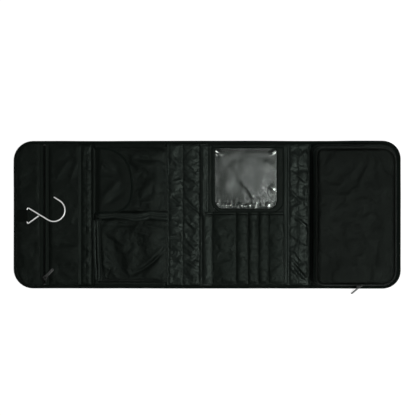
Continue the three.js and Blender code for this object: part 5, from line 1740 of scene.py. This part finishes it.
class BAG_OT_pouch_zip(bpy.types.Operator):
    """Makes the zip round the pouch: tapes, teeth, slider and pull"""
    bl_idname = "bag.pouch_zip"
    bl_label = "Pouch zip"

    def execute(self, context):
        size = context.scene.bag_sizes.tooth_pitch
        for word, body, low, high, tip in (
                ("lower", "pouch", GUSSET_TOP - 0.3 * MM, ZIP_MIDDLE - 1.0 * MM, -1),
                ("upper", "pouch_lid", ZIP_MIDDLE + 1.0 * MM, ZIP_TOP + 0.3 * MM, 1)):
            tape = pouch_wall(f"pouch_zip_{word}_tape", steps(low, high, 0.9 * MM), ZIP_TAPE_THICKNESS,
                              "zip_side", all_round=False)
            rides(tape, body, f"pouch_zip_{word}_row", slot="zip_tape")
            path = lid_part(pouch_ring(ZIP_MIDDLE + tip * TOOTH_ROW, -0.35 * MM))[::-1]
            side = -frames_along(path)
            arc = distances(path)
            start = size * (0.5 if tip > 0 else 1.0)
            wanted = np.arange(start, arc[-1] - size, size * 0.5)
            even = np.column_stack([np.interp(wanted, arc, c) for c in path.T])
            out = np.column_stack([np.interp(wanted, arc, c) for c in side.T])
            row = teeth(f"pouch_zip_teeth_{word}", [even], [out])
            rides(row, body, slot="zip_teeth")
            edge_z = low + 1.0 * MM if tip < 0 else high - 1.0 * MM
            seam = lid_part(pouch_ring(edge_z, -0.15 * MM))[::-1]
            sewn = stitches(f"pouch_zip_stitches_{word}", [seam], [-frames_along(seam)])
            rides(sewn, body, slot="zip_tape")
        # The slider's finish carries painted shade
        slider = refined("pouch_zip_slider", "pouch_zip_slider_plate", "slider", SLIDER_BEVEL)
        rides(slider, "pouch_slider", "pouch_zip_slider", slot="gunmetal")
        pull = refined("pouch_zip_pull", "pouch_zip_pull_tab", "gunmetal", PULL_BEVEL)
        rides(pull, "pouch_pull", "pouch_zip_pull", slot="gunmetal")
        return {"FINISHED"}


class BAG_OT_pouch_lid(bpy.types.Operator):
    """Makes the padded lid and the corded edge round it"""
    bl_idname = "bag.pouch_lid"
    bl_label = "Pouch lid"

    def execute(self, context):
        rim = pouch_ring(LID_TOP, RIM_INSET)
        x0, x1 = rim[:, 0].min(), rim[:, 0].max()
        y0, y1 = rim[:, 1].min(), rim[:, 1].max()
        near, far = POUCH_NEAR_CORNER - RIM_INSET, POUCH_FAR_CORNER - RIM_INSET
        rows = corner_rows(y0, y1, far, 2.5 * MM)

        def height(x, y):
            deep = np.minimum(np.minimum(x - x0, x1 - x), np.minimum(y - y0, y1 - y))
            rise = 1.4 * MM * ease(0, 5 * MM, deep)
            swell = 0.6 * MM * ease(0, 26 * MM, deep)
            return LID_TOP - 2.3 * MM + rise + swell + 0.8 * folds(x, y, LID_FOLDS)

        edges = rounded_edges(x0, x1, y0, y1, near, far)
        grid = sheet_grid(edges, rows, int((x1 - x0) / (2.5 * MM)), height)
        cloth = Cloth("pouch_lid_panel", grid, sewn_edges(grid), 0.018, 0.2, 0.8 * MM, 0.5 * MM)
        settled = settle_all([cloth], context.scene.bag_sizes.wrinkle_depth)[0]
        under = settled.copy()
        under[..., 2] = np.minimum(LID_SHOULDER + 0.2 * MM, settled[..., 2] - 0.6 * MM)
        lid = slab("pouch_lid_cloth", settled, under, "pouch")
        smooth = lid.modifiers.new("smooth", "SUBSURF")
        smooth.levels = smooth.render_levels = 1
        finish_modifiers(lid)
        hinged(lid, "pouch_lid_panel", "pouch_rear_top")
        ring = pouch_ring(LID_TOP - 1.5 * MM)
        ring = ring + UP * 0.15 * MM * cloud(ring[:, 0], ring[:, 1], 20 * MM, 95)[:, None]
        inward = 1.5 * MM + 0.3 * MM * cloud(ring[:, 0], ring[:, 1], 26 * MM, 96)
        ring = ring - frames_along(ring, closed=True) * inward[:, None]
        cord = sweep("pouch_lid_cord", ring, tape_section(3.2 * MM, 3.0 * MM, 0.0, 12), "pouch", closed=True)
        hinged(cord, "pouch_lid_piping", "pouch_rear_piping", slot="binding")
        seam = pouch_ring(LID_TOP - 0.4 * MM, 4.4 * MM)
        seam = np.concatenate([seam, seam[:1]])
        hinged(stitches("pouch_lid_stitches", [seam]))
        return {"FINISHED"}


# Each light: its name, place, size, the setting that powers it, its share of that power, and what it
# alone shines on, where that isn't everything
LIGHTS = (
    ("key", (0.78, -0.4, 1.75), (0.8, 0.8), "key_light", 1.0, None),
    ("fill", (-0.85, 0.6, 1.7), (0.9, 0.9), "key_light", 0.14, None),
    ("spark", (0.9, 0.75, 1.9), (0.12, 0.12), "key_light", 0.12, None),
    ("left", (-1.5, 0.35, 0.8), (1.2, 0.25), "side_light", 1.0, None),
    ("right", (1.5, -0.2, 0.8), (1.2, 0.25), "side_light", 0.85, None),
    ("back", (0.1, 1.5, 0.85), (1.4, 0.25), "side_light", 1.15, None),
    ("front", (-0.1, -1.5, 0.75), (1.4, 0.25), "side_light", 0.7, None),
    ("top", (0.225, 0.13, 2.6), (0.3, 0.3), "top_light", 1.0, None),
    ("glint", (0.235, 0.085, 2.62), (0.07, 0.06), "top_light", 0.3, None),
    ("metal", (-0.25, 0.0, 1.6), (2.0, 2.0), "metal_light", 1.0, "metal"),
    ("vinyl right", (0.45, -0.02, 1.7), (0.14, 0.14), "vinyl_light", 1.0, "vinyl"),
    ("vinyl left", (-0.3, -0.02, 1.7), (0.14, 0.14), "vinyl_light", 0.8, "vinyl"),
)
FLOOR_REACH = 6.0
# Width of the camera's film in millimetres, and the point that it looks down on
FILM = 36
CAMERA_OVER = (0.002, 0.0124)


class BAG_OT_stage(bpy.types.Operator):
    """Sets the floor, the soft studio light and the camera"""
    bl_idname = "bag.stage"
    bl_label = "Stage"

    def execute(self, context):
        scene = context.scene
        stage = scene.bag_stage
        mesh = bpy.data.meshes.new("floor")
        corners = [(x * FLOOR_REACH, y * FLOOR_REACH, 0) for x, y in ((-1, -1), (1, -1), (1, 1), (-1, 1))]
        mesh.from_pydata(corners, [], [(0, 1, 2, 3)])
        floor = placed("floor", mesh)
        paper = bpy.data.materials.new("white paper")
        paper.use_nodes = True
        shader = paper.node_tree.nodes["Principled BSDF"]
        shader.inputs["Base Color"].default_value = (0.93, 0.93, 0.93, 1)
        shader.inputs["Roughness"].default_value = 0.9
        shader.inputs["Emission Color"].default_value = (1, 1, 1, 1)
        shader.inputs["Emission Strength"].default_value = 0.85
        mesh.materials.append(paper)
        world = bpy.data.worlds.new("room")
        world.use_nodes = True
        back = world.node_tree.nodes["Background"]
        back.inputs["Color"].default_value = (1, 1, 1, 1)
        back.inputs["Strength"].default_value = stage.room_light
        scene.world = world
        for word, place, size, power, share, lit in LIGHTS:
            light = bpy.data.lights.new("soft light " + word, "AREA")
            light.shape = "RECTANGLE"
            light.size, light.size_y = size
            light.energy = getattr(stage, power) * share
            lamp = placed(light.name, light)
            lamp.location = place
            lamp.rotation_euler = (-Vector(place)).to_track_quat("-Z", "Y").to_euler()
            if lit:
                lamp.light_linking.receiver_collection = lit_pieces(lit)
        eye = bpy.data.cameras.new("camera")
        eye.sensor_width = FILM
        eye.lens = FILM * stage.camera_height / stage.view_width
        camera = placed("camera", eye)
        camera.location = (*CAMERA_OVER, stage.camera_height)
        scene.camera = camera
        scene.view_settings.view_transform = "Standard"
        return {"FINISHED"}


OPERATORS = (
    BAG_OT_stage, BAG_OT_padded_panels, BAG_OT_edge_tapes, BAG_OT_spines, BAG_OT_hook_panel_lining,
    BAG_OT_hook_panel_zip, BAG_OT_hanging_hook, BAG_OT_pockets, BAG_OT_pocket_flap, BAG_OT_brush_channels,
    BAG_OT_window_flap, BAG_OT_pouch_walls, BAG_OT_pouch_zip, BAG_OT_pouch_lid,
)


class BAG_PT_panel(bpy.types.Panel):
    """Sizes, colours and pieces of the toiletry bag"""
    bl_idname = "BAG_PT_panel"
    bl_label = "Toiletry Bag"
    bl_space_type = "VIEW_3D"
    bl_region_type = "UI"
    bl_category = "Bag"

    def draw(self, context):
        scene = context.scene
        for settings in (scene.bag_sizes, scene.bag_colours, scene.bag_stage):
            box = self.layout.box()
            for name in settings.__annotations__:
                box.prop(settings, name)
        for kind in OPERATORS:
            self.layout.operator(kind.bl_idname)


SETTINGS = {"bag_sizes": BagSizes, "bag_colours": BagColours, "bag_stage": StageSettings}


def register():
    for kind in (*SETTINGS.values(), *OPERATORS, BAG_PT_panel):
        bpy.utils.register_class(kind)
    for name, kind in SETTINGS.items():
        setattr(bpy.types.Scene, name, bpy.props.PointerProperty(type=kind))


def unregister():
    for name in SETTINGS:
        delattr(bpy.types.Scene, name)
    for kind in (BAG_PT_panel, *OPERATORS[::-1], *SETTINGS.values()):
        bpy.utils.unregister_class(kind)


def main():
    register()
    for kind in OPERATORS:
        group, name = kind.bl_idname.split(".")
        getattr(getattr(bpy.ops, group), name)()


if __name__ == "__main__":
    main()
